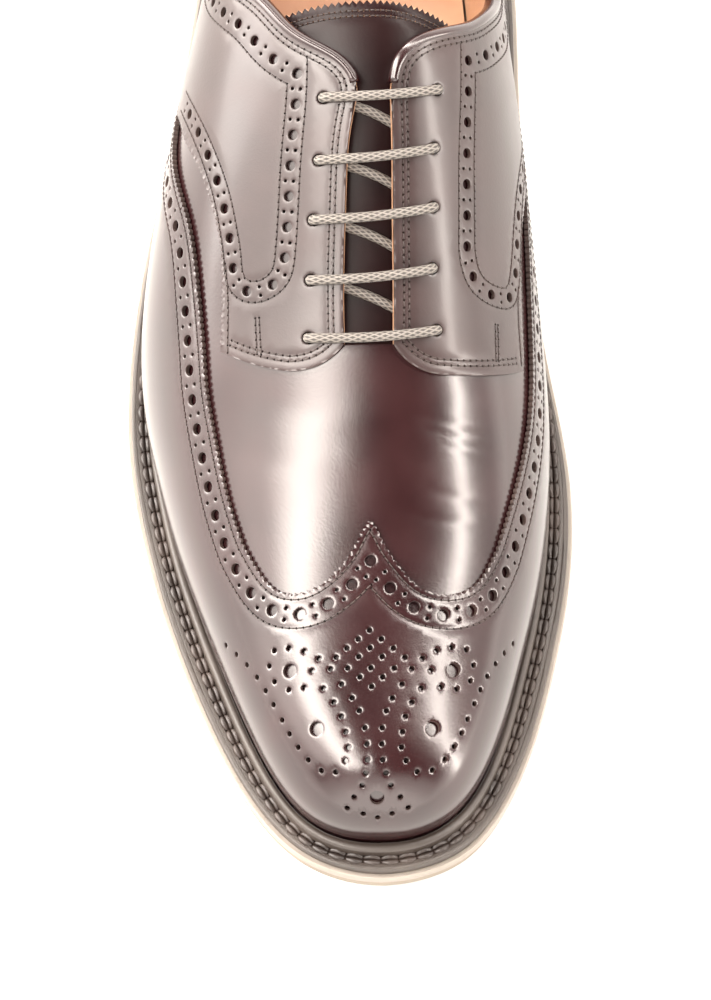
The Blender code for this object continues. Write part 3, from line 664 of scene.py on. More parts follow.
# %% [markdown]
# ## Materials
# Leather, thread, welt and rubber share a few surface effects. Each effect is a node group with
# named inputs, so that every material can set its own scale and strength.


# %% Shader helpers
def group_tree(name, inputs, outputs):
    """An empty node group with float inputs and the outputs asked for."""
    tree = bpy.data.node_groups.new(name, "ShaderNodeTree")
    for label, value in inputs:
        socket = tree.interface.new_socket(label, in_out="INPUT", socket_type="NodeSocketFloat")
        socket.default_value = value
    for label, kind in outputs:
        tree.interface.new_socket(label, in_out="OUTPUT", socket_type=kind)
    return tree, tree.nodes.new("NodeGroupInput"), tree.nodes.new("NodeGroupOutput")


def add_node(tree, kind, **values):
    node = tree.nodes.new(kind)
    for name, value in values.items():
        setattr(node, name, value)
    return node


def feed(tree, socket, source):
    """Sets a socket from a number or links it from another socket."""
    if isinstance(source, bpy.types.NodeSocket):
        tree.links.new(source, socket)
    else:
        socket.default_value = source


def maths(tree, operation, first, second=0.0):
    node = add_node(tree, "ShaderNodeMath", operation=operation)
    feed(tree, node.inputs[0], first)
    feed(tree, node.inputs[1], second)
    return node.outputs[0]


def noise(tree, scale, detail=3.0, roughness=0.5, vector=None):
    """Noise in the object's own coordinates."""
    node = add_node(tree, "ShaderNodeTexNoise")
    feed(tree, node.inputs["Scale"], scale)
    node.inputs["Detail"].default_value = detail
    node.inputs["Roughness"].default_value = roughness
    if vector is None:
        vector = add_node(tree, "ShaderNodeTexCoord").outputs["Object"]
    tree.links.new(vector, node.inputs["Vector"])
    return node.outputs["Fac"]


def spread(tree, value, low, high, new_low=0.0, new_high=1.0):
    node = add_node(tree, "ShaderNodeMapRange")
    feed(tree, node.inputs["Value"], value)
    for label, number in (("From Min", low), ("From Max", high), ("To Min", new_low), ("To Max", new_high)):
        feed(tree, node.inputs[label], number)
    return node.outputs["Result"]


# %% Leather grain group
def make_grain_group():
    """Fine pores and a slow unevenness, as heights, with a mask of the slow part."""
    tree, given, result = group_tree(
        "leather_grain",
        (("Pore Scale", 1500.0), ("Pore Depth", 1.0), ("Wave Scale", 60.0), ("Wave Depth", 1.0)),
        (("Height", "NodeSocketFloat"), ("Slow Mask", "NodeSocketFloat")),
    )
    place = add_node(tree, "ShaderNodeTexCoord").outputs["Object"]
    pores = noise(tree, given.outputs["Pore Scale"], 2.0, 0.6, place)
    slow = noise(tree, given.outputs["Wave Scale"], 3.0, 0.5, place)
    height = maths(
        tree, "ADD",
        maths(tree, "MULTIPLY", pores, given.outputs["Pore Depth"]),
        maths(tree, "MULTIPLY", slow, given.outputs["Wave Depth"]),
    )
    tree.links.new(height, result.inputs["Height"])
    tree.links.new(slow, result.inputs["Slow Mask"])
    return tree


grain_group = make_grain_group()


def place_group(tree, group, **values):
    node = add_node(tree, "ShaderNodeGroup")
    node.node_tree = group
    for label, value in values.items():
        feed(tree, node.inputs[label.replace("_", " ")], value)
    return node


# %% Leather, lining and thread
def blend_colours(tree, mask, first, second):
    node = add_node(tree, "ShaderNodeMix", data_type="RGBA")
    feed(tree, node.inputs["Factor"], mask)
    for socket, colour in ((node.inputs[6], first), (node.inputs[7], second)):
        if isinstance(colour, bpy.types.NodeSocket):
            tree.links.new(colour, socket)
        else:
            socket.default_value = (*colour, 1.0)
    return node.outputs[2]


def bump(tree, height, strength, distance):
    node = add_node(tree, "ShaderNodeBump")
    node.inputs["Strength"].default_value = strength
    node.inputs["Distance"].default_value = distance
    tree.links.new(height, node.inputs["Height"])
    return node.outputs["Normal"]


COAT_ROUGHNESS = 0.16
LEATHER_IOR = 1.55
GRAIN_STRENGTH = 0.12
GRAIN_HEIGHT = 0.0002
PATCHES = (0.35, 0.7)


def leather_material(name, deep, worn, roughness, coat, pore_depth=1.0):
    """Polished leather: two close colours, fine pores and a waxed coat."""
    material = plain_material(name, deep, roughness)
    tree = material.node_tree
    shader = tree.nodes["Principled BSDF"]
    grain = place_group(tree, grain_group, Pore_Depth=pore_depth)
    slow = spread(tree, grain.outputs["Slow Mask"], *PATCHES)
    tree.links.new(blend_colours(tree, slow, deep, worn), shader.inputs["Base Color"])
    uneven = spread(tree, slow, 0.0, 1.0, roughness * 0.9, roughness * 1.12)
    tree.links.new(uneven, shader.inputs["Roughness"])
    tree.links.new(bump(tree, grain.outputs["Height"], GRAIN_STRENGTH, GRAIN_HEIGHT), shader.inputs["Normal"])
    shader.inputs["Coat Weight"].default_value = coat
    shader.inputs["Coat Roughness"].default_value = COAT_ROUGHNESS
    shader.inputs["IOR"].default_value = LEATHER_IOR
    return material


oxblood = leather_material(
    "oxblood_leather", (0.0125, 0.0024, 0.0030), (0.020, 0.0042, 0.0048), 0.24, 0.55)
facing_leather = leather_material(
    "soft_oxblood_leather", (0.018, 0.0075, 0.0072), (0.026, 0.0108, 0.0102), 0.38, 0.35)
raw_edge = leather_material(
    "raw_leather_edge", (0.020, 0.010, 0.008), (0.045, 0.024, 0.019), 0.7, 0.0, 2.0)
lining = leather_material(
    "tan_lining_leather", (0.40, 0.215, 0.125), (0.50, 0.29, 0.175), 0.5, 0.0, 1.5)
# The thread's dark brown is partly its own colour and partly painted shade for the sunken seams it lies in.
thread = leather_material(
    "dark_thread_and_painted_shade", (0.016, 0.009, 0.008), (0.040, 0.024, 0.020), 0.5, 0.0, 2.0)
welt_leather = leather_material(
    "dark_welt_leather", (0.030, 0.022, 0.018), (0.055, 0.043, 0.036), 0.5, 0.1, 2.5)
welt_thread = leather_material(
    "welt_thread", (0.016, 0.010, 0.008), (0.045, 0.030, 0.024), 0.45, 0.0, 2.5)
cream = leather_material(
    "cream_midsole_edge", (0.25, 0.22, 0.19), (0.31, 0.275, 0.24), 0.6, 0.0, 1.0)
# Painted shade: the tongue wears a darker copy of the oxblood leather with a weak specular and almost no
# coat, so it stays dark like the shaded slit it lies in.
tongue_leather_painted_shade = leather_material(
    "tongue_leather_painted_shade", (0.0075, 0.0022, 0.0024), (0.0125, 0.0036, 0.0038), 0.34, 0.04)
tongue_leather_painted_shade.node_tree.nodes["Principled BSDF"].inputs["Specular IOR Level"].default_value = 0.14
rubber = leather_material(
    "beige_rubber", (0.20, 0.165, 0.125), (0.25, 0.21, 0.165), 0.7, 0.0, 1.0)
heel_leather = leather_material(
    "stacked_heel_leather", (0.06, 0.033, 0.022), (0.10, 0.058, 0.040), 0.5, 0.1, 1.5)
cord_material = leather_material(
    "waxed_cord", (0.115, 0.100, 0.088), (0.19, 0.17, 0.152), 0.6, 0.0, 2.0)

# %% [markdown]
# ## Braid
# A round lace is braided: strands cross in two directions round its core. Two waves that run round
# and along the cord in opposite senses make that pattern from the cord's own map coordinates, so it
# follows every bend of the lace.


# %% Braid of the lace
def make_braid_group():
    """Strands that cross in two directions round a cord, as a height from 0 to 1."""
    tree, given, result = group_tree(
        "braided_cord", (("Strands", 7.0), ("Pitch", 0.0026)), (("Height", "NodeSocketFloat"),),
    )
    place = add_node(tree, "ShaderNodeUVMap", uv_map="along").outputs["UV"]
    parts = add_node(tree, "ShaderNodeSeparateXYZ")
    tree.links.new(place, parts.inputs[0])
    around = maths(tree, "MULTIPLY", parts.outputs["X"], given.outputs["Strands"])
    along = maths(tree, "DIVIDE", parts.outputs["Y"], given.outputs["Pitch"])
    waves = []
    for operation in ("ADD", "SUBTRACT"):
        turn = maths(tree, "MULTIPLY", maths(tree, operation, around, along), 2.0 * math.pi)
        waves.append(maths(tree, "SINE", turn))
    height = spread(tree, maths(tree, "MAXIMUM", waves[0], waves[1]), -0.2, 1.0)
    tree.links.new(height, result.inputs["Height"])
    return tree


# The gap colour is painted shade for the hollows between the crossing strands.
BRAID_GAP_SHADE = (0.04, 0.034, 0.03)
BRAID_STRAND = (0.21, 0.19, 0.17)
BRAID_STRENGTH = 0.7
BRAID_HEIGHT = 0.0003


def braid_cord(material):
    """Gives a cord its braid: raised strands by bump, with painted shade darkening the gaps between them."""
    tree = material.node_tree
    shader = tree.nodes["Principled BSDF"]
    braid = place_group(tree, make_braid_group())
    colour = blend_colours(tree, braid.outputs["Height"], BRAID_GAP_SHADE, BRAID_STRAND)
    tree.links.new(colour, shader.inputs["Base Color"])
    relief = bump(tree, braid.outputs["Height"], BRAID_STRENGTH, BRAID_HEIGHT)
    tree.links.new(relief, shader.inputs["Normal"])


braid_cord(cord_material)

# %% [markdown]
# ## Drawing on the chart
# A panel is drawn flat first: its outline, its holes and rows of points beside each seam go into one
# constrained triangulation. Every corner is then lifted on to the last and pressed down a little near
# seams, holes and cut edges, and gets the normal of that pressed surface, so the gloss runs clean.

# %% Chart helpers
FLAT_RADIUS = 42.0


def to_flat(walk, angle):
    return np.stack([walk, np.asarray(angle) * FLAT_RADIUS], axis=-1)


def from_flat(points):
    return points[..., 0], points[..., 1] / FLAT_RADIUS


def tangents(walk, angle):
    """How a point of the leather moves along the chart's two directions, and its normal."""
    tiny = 0.01
    along = (last_surface(walk + tiny, angle) - last_surface(walk - tiny, angle)) / (2.0 * tiny)
    step = tiny / FLAT_RADIUS
    around = (last_surface(walk, angle + step) - last_surface(walk, angle - step)) / (2.0 * tiny)
    normal = np.cross(along, around)
    normal /= np.linalg.norm(normal, axis=-1, keepdims=True)
    return along, around, normal


def flat_step(walk, angle, move):
    """The chart move that makes a small move over the leather, by least squares."""
    along, around, _ = tangents(walk, angle)
    aa = np.sum(along * along, axis=-1)
    ab = np.sum(along * around, axis=-1)
    bb = np.sum(around * around, axis=-1)
    am = np.sum(along * move, axis=-1)
    bm = np.sum(around * move, axis=-1)
    area = np.maximum(aa * bb - ab * ab, 1e-9)
    return np.stack([(am * bb - bm * ab) / area, (bm * aa - am * ab) / area], axis=-1)


def run_lengths(flat):
    """Distance over the leather along a line that is drawn on the chart."""
    points = last_surface(*from_flat(flat))
    steps = np.linalg.norm(np.diff(points, axis=0), axis=1)
    return np.concatenate([[0.0], np.cumsum(steps)])


def spaced(flat, pitch, first=0.0, whole=False):
    """Points at an even pitch over the leather along a chart line."""
    length = run_lengths(flat)
    if whole:
        count = max(2, int(round(length[-1] / pitch)) + 1)
        places = np.linspace(0.0, length[-1], count)
    else:
        places = np.arange(first, length[-1], pitch)
    return np.stack([np.interp(places, length, flat[:, axis]) for axis in (0, 1)], axis=1)


def beside(flat, distance):
    """The line a distance to the left of a chart line, measured over the leather."""
    walk, angle = from_flat(flat)
    surface = last_surface(walk, angle)
    run = np.gradient(surface, axis=0)
    run /= np.linalg.norm(run, axis=1, keepdims=True)
    _, _, normal = tangents(walk, angle)
    side = np.cross(normal, run)
    return flat + flat_step(walk, angle, side * np.asarray(distance, float).reshape(-1, 1))


def smooth_line(rows, count=200):
    """A smooth chart line through (station, angle in degrees) rows."""
    rows = np.array(rows, float)
    flat = to_flat(walk_of(rows[:, 0]), np.radians(rows[:, 1]))
    steps = np.linalg.norm(np.diff(flat, axis=0), axis=1)
    knots = np.concatenate([[0.0], np.cumsum(steps)])
    place = np.linspace(0.0, knots[-1], count)
    return np.stack([fair_cubic(knots, flat[:, axis])(place) for axis in (0, 1)], axis=1)


def circle(flat_centre, radius, sides, turn=0.0):
    """A round loop over the leather about a chart point."""
    walk, angle = from_flat(np.asarray(flat_centre, float))
    along, _, normal = tangents(walk, angle)
    first = along / np.linalg.norm(along)
    second = np.cross(normal, first)
    turns = np.linspace(0.0, 2.0 * math.pi, sides, endpoint=False) + turn
    moves = radius * (np.cos(turns)[:, None] * first + np.sin(turns)[:, None] * second)
    walks = np.full(sides, walk)
    angles = np.full(sides, angle)
    return flat_centre + flat_step(walks, angles, moves)


def inside(points, polygon):
    """Which points lie inside a closed polygon, by counting crossings."""
    result = np.zeros(len(points), bool)
    x = points[:, 0]
    y = points[:, 1]
    for (ax, ay), (bx, by) in zip(polygon, np.roll(polygon, -1, axis=0)):
        if ay == by:
            continue
        crossing = (ay > y) != (by > y)
        result ^= crossing & (x < (bx - ax) * (y - ay) / (by - ay) + ax)
    return result


def gimped(flat, pitch, depth, side):
    """A pinked edge: small scallops cut to one side of a smooth line."""
    count = max(4, int(round(run_lengths(flat)[-1] / pitch))) * 6
    length = run_lengths(flat)
    places = np.linspace(0.0, length[-1], count + 1)
    line = np.stack([np.interp(places, length, flat[:, axis]) for axis in (0, 1)], axis=1)
    phase = np.arange(count + 1) / 6.0 * math.pi
    return beside(line, side * depth * (1.0 - np.abs(np.sin(phase))))


# %% [markdown]
# ## Panels
# A panel's relief is a sum of soft troughs: one along each seam, a sharp little one round each hole
# and a rounded shoulder along each cut edge. Each trough knows its depth and its width, so the height
# and the slope at any corner come from its distance to the line alone.


# %% Relief
class Trough:
    """A sunk line or a set of sunk rims: lines is a list of point runs in millimetres."""

    def __init__(self, runs, depth, width, rim=0.0, sharp=False):
        self.depth = depth
        self.width = width
        self.rim = rim
        self.sharp = sharp
        self.points = np.concatenate(runs)
        self.ends = np.concatenate([np.arange(len(run)) == len(run) - 1 for run in runs])
        self.starts = np.concatenate([np.arange(len(run)) == 0 for run in runs])
        self.tree = KDTree(len(self.points))
        for index, point in enumerate(self.points):
            self.tree.insert(point, index)
        self.tree.balance()

    def nearest(self, places):
        found = np.array([self.tree.find(place)[1] for place in places])
        best = self.points[found]
        gap = np.linalg.norm(places - best, axis=1)
        for step, stop in ((1, self.ends), (-1, self.starts)):
            other = np.clip(found + step, 0, len(self.points) - 1)
            a = self.points[found]
            b = np.where(stop[found][:, None], a, self.points[other])
            run = b - a
            size = np.maximum(np.sum(run * run, axis=1), 1e-12)
            share = np.clip(np.sum((places - a) * run, axis=1) / size, 0.0, 1.0)
            place = a + share[:, None] * run
            distance = np.linalg.norm(places - place, axis=1)
            closer = distance < gap
            best = np.where(closer[:, None], place, best)
            gap = np.minimum(gap, distance)
        return best, gap

    def press(self, places):
        """Height and its gradient at some places on the leather."""
        best, gap = self.nearest(places)
        reach = np.maximum(gap - self.rim, 0.0) / self.width
        if self.sharp:
            height = -self.depth * np.exp(-reach)
            slope = -height / self.width
        else:
            height = -self.depth * np.exp(-reach * reach)
            slope = -2.0 * reach * height / self.width
        way = (places - best) / np.maximum(gap, 1e-6)[:, None]
        return height, slope[:, None] * way


def pressed(walk, angle, lift, troughs):
    """Points of a relief surface and their normals."""
    base = last_surface(walk, angle)
    _, _, normal = tangents(np.clip(walk, 0.6, LAST_END - 0.6), angle)
    height = np.zeros(len(base))
    slope = np.zeros_like(base)
    for trough in troughs:
        more, way = trough.press(base)
        height += more
        slope += way
    slope -= np.sum(slope * normal, axis=1, keepdims=True) * normal
    tilted = normal - slope
    tilted /= np.linalg.norm(tilted, axis=1, keepdims=True)
    return base + (lift + height)[:, None] * normal, tilted, normal


# %% Triangulate and lift one panel
SEAM_DEPTH = 0.10
SEAM_WIDTH = 0.8
RIM_DEPTH = 0.09
RIM_WIDTH = 0.26
EDGE_DEPTH = 0.10
EDGE_WIDTH = 0.3


def panel_points(outline, spacing):
    """Staggered chart points over the box of an outline."""
    low = outline.min(axis=0)
    high = outline.max(axis=0)
    rows = np.arange(low[0], high[0] + spacing, spacing * 0.866)
    columns = np.arange(low[1], high[1] + spacing, spacing)
    grid = [
        np.stack([np.full(len(columns), row), columns + (index % 2) * spacing / 2.0], axis=1)
        for index, row in enumerate(rows)
    ]
    return np.concatenate(grid)


def keep_apart(points, others, gap):
    """The points that have no other point nearer than a gap."""
    tree = KDTree(len(others))
    for index, place in enumerate(others):
        tree.insert((place[0], place[1], 0.0), index)
    tree.balance()
    return np.array([place for place in points if tree.find((place[0], place[1], 0.0))[2] > gap])


def leather_panel(name, keep, cut, holes, seams, lift, thickness, material, under, spacing=1.7, folds=()):
    """A closed sheet of leather on the last.

    keep and cut are closed chart polygons, holes are (centre, radius, sides), seams are chart lines
    that the leather is drawn down along, and folds are (line, depth, width) of more soft troughs.
    """
    features = keep + cut
    outlines = len(features)
    edges = []
    count = 0
    for polygon in features:
        size = len(polygon)
        edges += [(count + i, count + (i + 1) % size) for i in range(size)]
        count += size
    rims = []
    for centre, radius, sides in holes:
        ring = circle(centre, radius, sides)
        features.append(ring)
        edges += [(count + i, count + (i + 1) % sides) for i in range(sides)]
        count += sides
        if radius > 0.4:
            rims.append(circle(centre, radius + 0.3, sides, math.pi / sides))
            rims.append(circle(centre, radius + 0.75, sides))
    shoulders = []
    for polygon in features[:outlines]:
        closed = np.concatenate([polygon, polygon[:1]])
        line = spaced(closed, 1.1)
        for distance in (-0.45, 0.45):
            shoulders.append(beside(line, distance))
    beds = []
    for seam in seams:
        line = spaced(seam, 0.9)
        for distance in (-0.75, 0.0, 0.75):
            beds.append(beside(line, distance))
    for fold, _, width in folds:
        line = spaced(fold, min(width, 1.2))
        for share in (-1.5, -0.9, -0.4, 0.0, 0.4, 0.9, 1.5):
            beds.append(beside(line, share * width))
    hard = np.concatenate(features)
    near = keep_apart(np.concatenate(rims), hard, 0.12) if rims else np.zeros((0, 2))
    solid = np.concatenate([hard, near])
    side_rows = np.concatenate(shoulders + beds)
    side_rows = keep_apart(side_rows, solid, 0.3)
    solid = np.concatenate([solid, side_rows])
    fill = panel_points(keep[0], spacing)
    fill = keep_apart(fill, solid, spacing * 0.55)
    everything = np.concatenate([solid, fill])
    given = [Vector((float(x), float(y))) for x, y in everything]
    made = delaunay_2d_cdt(given, edges, [], 0, 1e-5, False)
    flat = np.array([tuple(v) for v in made[0]])
    triangles = np.array([tuple(face) for face in made[2] if len(face) == 3])
    middles = flat[triangles].mean(axis=1)
    good = np.ones(len(triangles), bool)
    for polygon in keep:
        good &= inside(middles, polygon)
    for polygon in cut:
        good &= ~inside(middles, polygon)
    if holes:
        centres = KDTree(len(holes))
        for index, (centre, radius, sides) in enumerate(holes):
            centres.insert((centre[0], centre[1], 0.0), index)
        centres.balance()
        rings = [circle(centre, radius, sides) for centre, radius, sides in holes]
        for index in np.nonzero(good)[0]:
            middle = middles[index]
            for _, near_hole, _ in centres.find_n((middle[0], middle[1], 0.0), 2):
                if inside(middle[None, :], rings[near_hole])[0]:
                    good[index] = False
    triangles = triangles[good]
    used, triangles = np.unique(triangles, return_inverse=True)
    triangles = triangles.reshape(-1, 3)
    flat = flat[used]

    walk, angle = from_flat(flat)
    if callable(lift):
        lift = lift(walk)
    lift = np.full(len(walk), 0.0) + lift
    troughs = [Trough([last_surface(*from_flat(line))], depth, width) for line, depth, width in folds]
    surface_runs = [last_surface(*from_flat(spaced(seam, 0.6))) for seam in seams]
    if surface_runs:
        troughs.append(Trough(surface_runs, SEAM_DEPTH, SEAM_WIDTH))
    for size in sorted({radius for _, radius, _ in holes if radius > 0.4}):
        centres = [last_surface(*from_flat(centre))[None, :] for centre, radius, _ in holes if radius == size]
        troughs.append(Trough(centres, RIM_DEPTH, RIM_WIDTH, rim=size, sharp=True))
    closed_runs = [np.concatenate([polygon, polygon[:1]]) for polygon in features[:outlines]]
    edge_runs = [last_surface(*from_flat(run)) for run in closed_runs]
    troughs.append(Trough(edge_runs, EDGE_DEPTH, EDGE_WIDTH, sharp=True))
    top, tilted, normal = pressed(walk, angle, lift, troughs)
    bottom = last_surface(walk, angle) + (lift - thickness)[:, None] * normal
    return closed_sheet(name, top, bottom, triangles, tilted, material, under)


def closed_sheet(name, top, bottom, triangles, normals, material, under):
    """Joins two layers of the same triangles into a closed solid with plain walls between them."""
    count = len(top)
    sides = {}
    for a, b, c in triangles.tolist():
        for edge in ((a, b), (b, c), (c, a)):
            if (edge[1], edge[0]) in sides:
                del sides[edge[1], edge[0]]
            else:
                sides[edge] = True
    walls = []
    for a, b in sides:
        walls.append((b, a, a + count))
        walls.append((b, a + count, b + count))
    faces = triangles.tolist() + (triangles[:, ::-1] + count).tolist() + walls
    vertices = np.concatenate([top, bottom])
    mesh = bpy.data.meshes.new(name)
    mesh.from_pydata(world_points(vertices).tolist(), [], faces)
    corners = np.zeros((len(faces) * 3, 3))
    size = len(triangles)
    corners[: size * 3] = normals[triangles.ravel()]
    index = np.array(faces)
    a, b, c = (vertices[index[:, place]] for place in range(3))
    plain = np.cross(b - a, c - a)
    plain /= np.maximum(np.linalg.norm(plain, axis=1, keepdims=True), 1e-12)
    corners[size * 3:] = np.repeat(plain[size:], 3, axis=0)
    mesh.polygons.foreach_set("use_smooth", np.ones(len(faces), bool))
    edge_keys = {tuple(sorted(edge)) for edge in sides}
    edge_keys |= {(a + count, b + count) for a, b in edge_keys}
    sharp = np.array([tuple(sorted(edge.vertices)) in edge_keys for edge in mesh.edges])
    mesh.attributes.new("sharp_edge", "BOOLEAN", "EDGE").data.foreach_set("value", sharp)
    mesh.normals_split_custom_set(corners.tolist())
    mesh.materials.append(material)
    mesh.materials.append(under)
    slots = np.zeros(len(faces), np.int32)
    slots[size:] = 1
    mesh.polygons.foreach_set("material_index", slots)
    mesh.update()
    thing = bpy.data.objects.new(name, mesh)
    bpy.context.scene.collection.objects.link(thing)
    print(name, "has", len(faces), "triangles")
    return thing


def dress(thing, slot_name, *nodes):
    """Rides a finished piece on the shoe, in place of the solids that it stands for."""
    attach(thing, "root")
    if nodes:
        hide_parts(*nodes)


# %% [markdown]
# ## Outlines of the panels
# The wing's edge, the mouth with its slit and the quarters' lower edges come from the same tables as
# the solids. The whole last, from the bed up and over, is one more outline, and each panel is what
# lies inside some of these outlines and outside others.


# %% Outlines
def table_line(rows, names, label, count=160):
    """One column of a table as a smooth chart line."""
    station = column(rows, names, "station")
    order = np.arange(len(station))
    place = np.linspace(0.0, order[-1], count)
    angle = fair_cubic(order, column(rows, names, label))(place)
    return to_flat(walk_of(fair_cubic(order, station)(place)), np.radians(angle))


def foot_angle(walk):
    """Angle below the widest line at which the leather ends, just above the midsole."""
    share = (girdle_at(walk) - GAP) / np.maximum(depth_at(walk), 1e-6)
    return np.arcsin(np.clip(share, 0.0, 0.95))


def whole_last():
    walk = np.concatenate([np.linspace(0.3, 12.0, 24), np.linspace(14.0, LAST_END - 14.0, 170)])
    walk = np.concatenate([walk, np.linspace(LAST_END - 12.0, LAST_END - 0.3, 24)])
    low = foot_angle(walk)
    return np.concatenate([to_flat(walk, -low), to_flat(walk, math.pi + low)[::-1]])


def half_wing_edge(side):
    """From the point on the toe round one lobe and along the side to the back seam."""
    lateral = side == "lateral"
    front = fair_cubic(column(WING_FRONT, WING_FRONT_COLUMNS, "angle"),
                       column(WING_FRONT, WING_FRONT_COLUMNS, "station"))
    last_angle = WING_FRONT[-1][0] if lateral else WING_FRONT[0][0]
    degrees = np.linspace(90.0, last_angle, 90)
    lobe = to_flat(walk_of(front(degrees)), np.radians(degrees))
    return np.concatenate([lobe, table_line(WING, WING_COLUMNS, side, 400)[1:]])


last_outline = whole_last()
wing_edge = {side: half_wing_edge(side) for side in ("medial", "lateral")}
mouth = np.concatenate([
    table_line(OPENING, OPENING_COLUMNS, "medial"),
    table_line(OPENING, OPENING_COLUMNS, "lateral")[::-1],
])
print("length of the wing's edge on one side in mm:", round(float(run_lengths(wing_edge["medial"])[-1])))

# %% [markdown]
# ## Stitches
# A stitch shows as a short pillow of thread between two needle holes. The holes are really cut
# through the leather, so they stay dark in any light, and each thread dips into them at both ends.


# %% Tubes and stitches
class Builder:
    """Collects vertices, faces and map coordinates of many small forms for one joined mesh."""

    def __init__(self):
        self.vertices = []
        self.faces = []
        self.maps = []

    def tube(self, points, radii, sides=6, flat=1.0, ups=None):
        """A round tube with closed ends. flat squashes it along the up directions."""
        points = np.asarray(points, float)
        radii = np.broadcast_to(np.asarray(radii, float), len(points))
        run = np.gradient(points, axis=0)
        run /= np.linalg.norm(run, axis=1, keepdims=True)
        if ups is None:
            ups = np.tile(np.array([0.0, 0.0, 1.0]), (len(points), 1))
        across = np.cross(run, ups)
        across /= np.maximum(np.linalg.norm(across, axis=1, keepdims=True), 1e-9)
        upward = np.cross(across, run)
        turns = np.linspace(0.0, 2.0 * math.pi, sides, endpoint=False)
        base = len(self.vertices)
        length = np.concatenate([[0.0], np.cumsum(np.linalg.norm(np.diff(points, axis=0), axis=1))])
        for place, radius, side, up, far in zip(points, radii, across, upward, length):
            for turn in turns:
                self.vertices.append(place + radius * (math.cos(turn) * side + flat * math.sin(turn) * up))
                self.maps.append((turn / (2.0 * math.pi), far * MM))
        rings = len(points)
        for ring in range(rings - 1):
            for i in range(sides):
                j = (i + 1) % sides
                a = base + ring * sides
                self.faces.append((a + i, a + j, a + sides + j, a + sides + i))
        self.faces.append(tuple(base + i for i in range(sides))[::-1])
        self.faces.append(tuple(base + (rings - 1) * sides + i for i in range(sides)))

    def finish(self, name, material, smooth=True):
        mesh = bpy.data.meshes.new(name)
        mesh.from_pydata(world_points(self.vertices).tolist(), [], self.faces)
        form = bmesh.new()
        form.from_mesh(mesh)
        bmesh.ops.recalc_face_normals(form, faces=form.faces[:])
        form.to_mesh(mesh)
        form.free()
        layer = mesh.uv_layers.new(name="along")
        corners = np.zeros(len(mesh.loops), np.int32)
        mesh.loops.foreach_get("vertex_index", corners)
        layer.data.foreach_set("uv", np.array(self.maps)[corners].astype(np.float32).ravel())
        mesh.polygons.foreach_set("use_smooth", np.full(len(mesh.polygons), smooth))
        mesh.materials.append(material)
        thing = bpy.data.objects.new(name, mesh)
        bpy.context.scene.collection.objects.link(thing)
        print(name, "has", len(self.faces), "faces")
        return thing


STITCH_PITCH = 1.8
NEEDLE_HOLE = 0.33
THREAD = 0.17
STITCH_SHARES = np.array([0.02, 0.18, 0.5, 0.82, 0.98])
STITCH_HEIGHTS = np.array([-0.42, -0.06, 0.06, -0.06, -0.42])
STITCH_WIDTHS = np.array([0.6, 0.95, 1.0, 0.95, 0.6])


def needle_points(line, pitch=STITCH_PITCH):
    return spaced(line, pitch, whole=True)


def sew(builder, points, lift=0.0):
    """One row of stitches between needle points on the chart."""
    for start, end in zip(points, points[1:]):
        flat = start + (end - start) * STITCH_SHARES[:, None]
        walk, angle = from_flat(flat)
        _, _, normal = tangents(walk, angle)
        centre = last_surface(walk, angle) + (lift + STITCH_HEIGHTS)[:, None] * normal
        builder.tube(centre, THREAD * STITCH_WIDTHS, 5, 0.8, normal)


def needle_holes(rows):
    return [(point, NEEDLE_HOLE, 5) for row in rows for point in row]


# %% [markdown]
# ## Perforations
# Large holes stand in a row about 7 mm apart, with a pair of pinholes between each two. One function
# lays such a row along any chart line.

# %% Perforated rows
PUNCH_PITCH = 7.3
WING_PUNCH = 1.45
WING_PIN = 0.52
PIN_PAIR = 1.45


def punched_row(line, pitch, punch, pin, first=0.0, pair=PIN_PAIR):
    """Large holes along a line, with two small ones across it halfway between them."""
    length = run_lengths(line)[-1]
    count = int((length - first) // pitch)
    pitch = (length - first) / max(count, 1)
    half_steps = spaced(line, pitch / 2.0, first)
    holes = []
    for index, point in enumerate(half_steps):
        if index % 2 == 0:
            holes.append((point, punch, 14))
    middle = spaced(line, pitch / 2.0, first)[1::2]
    if len(middle) > 2:
        for side in (-pair, pair):
            for point in beside(middle, side):
                holes.append((point, pin, 8))
    return holes


# %% [markdown]
# ## The wing
# The wing is cut from one long piece. Its raw edge is pinked into small scallops, a row of stitches
# follows on each side of the perforations, and the toe carries the medallion.

# %% Wing lines
WING_EDGE_SEAM = 1.7
WING_PUNCH_LINE = 5.2
WING_OUTER_SEAM = 8.7
BACK_PLAIN = 9.0
SCALLOP_PITCH = 1.6
SCALLOP_DEPTH = 0.6
INTO_WING = {"lateral": 1.0, "medial": -1.0}


def wing_line(side, distance):
    """A line beside the wing's edge, from where it meets its twin under the point to near the back seam."""
    line = beside(wing_edge[side], INTO_WING[side] * distance)
    middle = math.pi / 2.0 * FLAT_RADIUS
    over = (line[:, 1] - middle) * INTO_WING[side] > 0.0
    first = int(np.argmax(over))
    rest = line[first:]
    good = (rest[:, 1] - middle) * INTO_WING[side] > 0.0
    start = rest[0].copy()
    start[1] = middle
    line = np.concatenate([start[None, :], rest[good]])
    solid = last_surface(*from_flat(line))
    return line[np.linalg.norm(solid - solid[-1], axis=1) > BACK_PLAIN]


cut_edge = {
    side: gimped(wing_edge[side], SCALLOP_PITCH, SCALLOP_DEPTH, INTO_WING[side])
    for side in wing_edge
}
above_wing = np.concatenate([cut_edge["lateral"], cut_edge["medial"][::-1][:-1]])

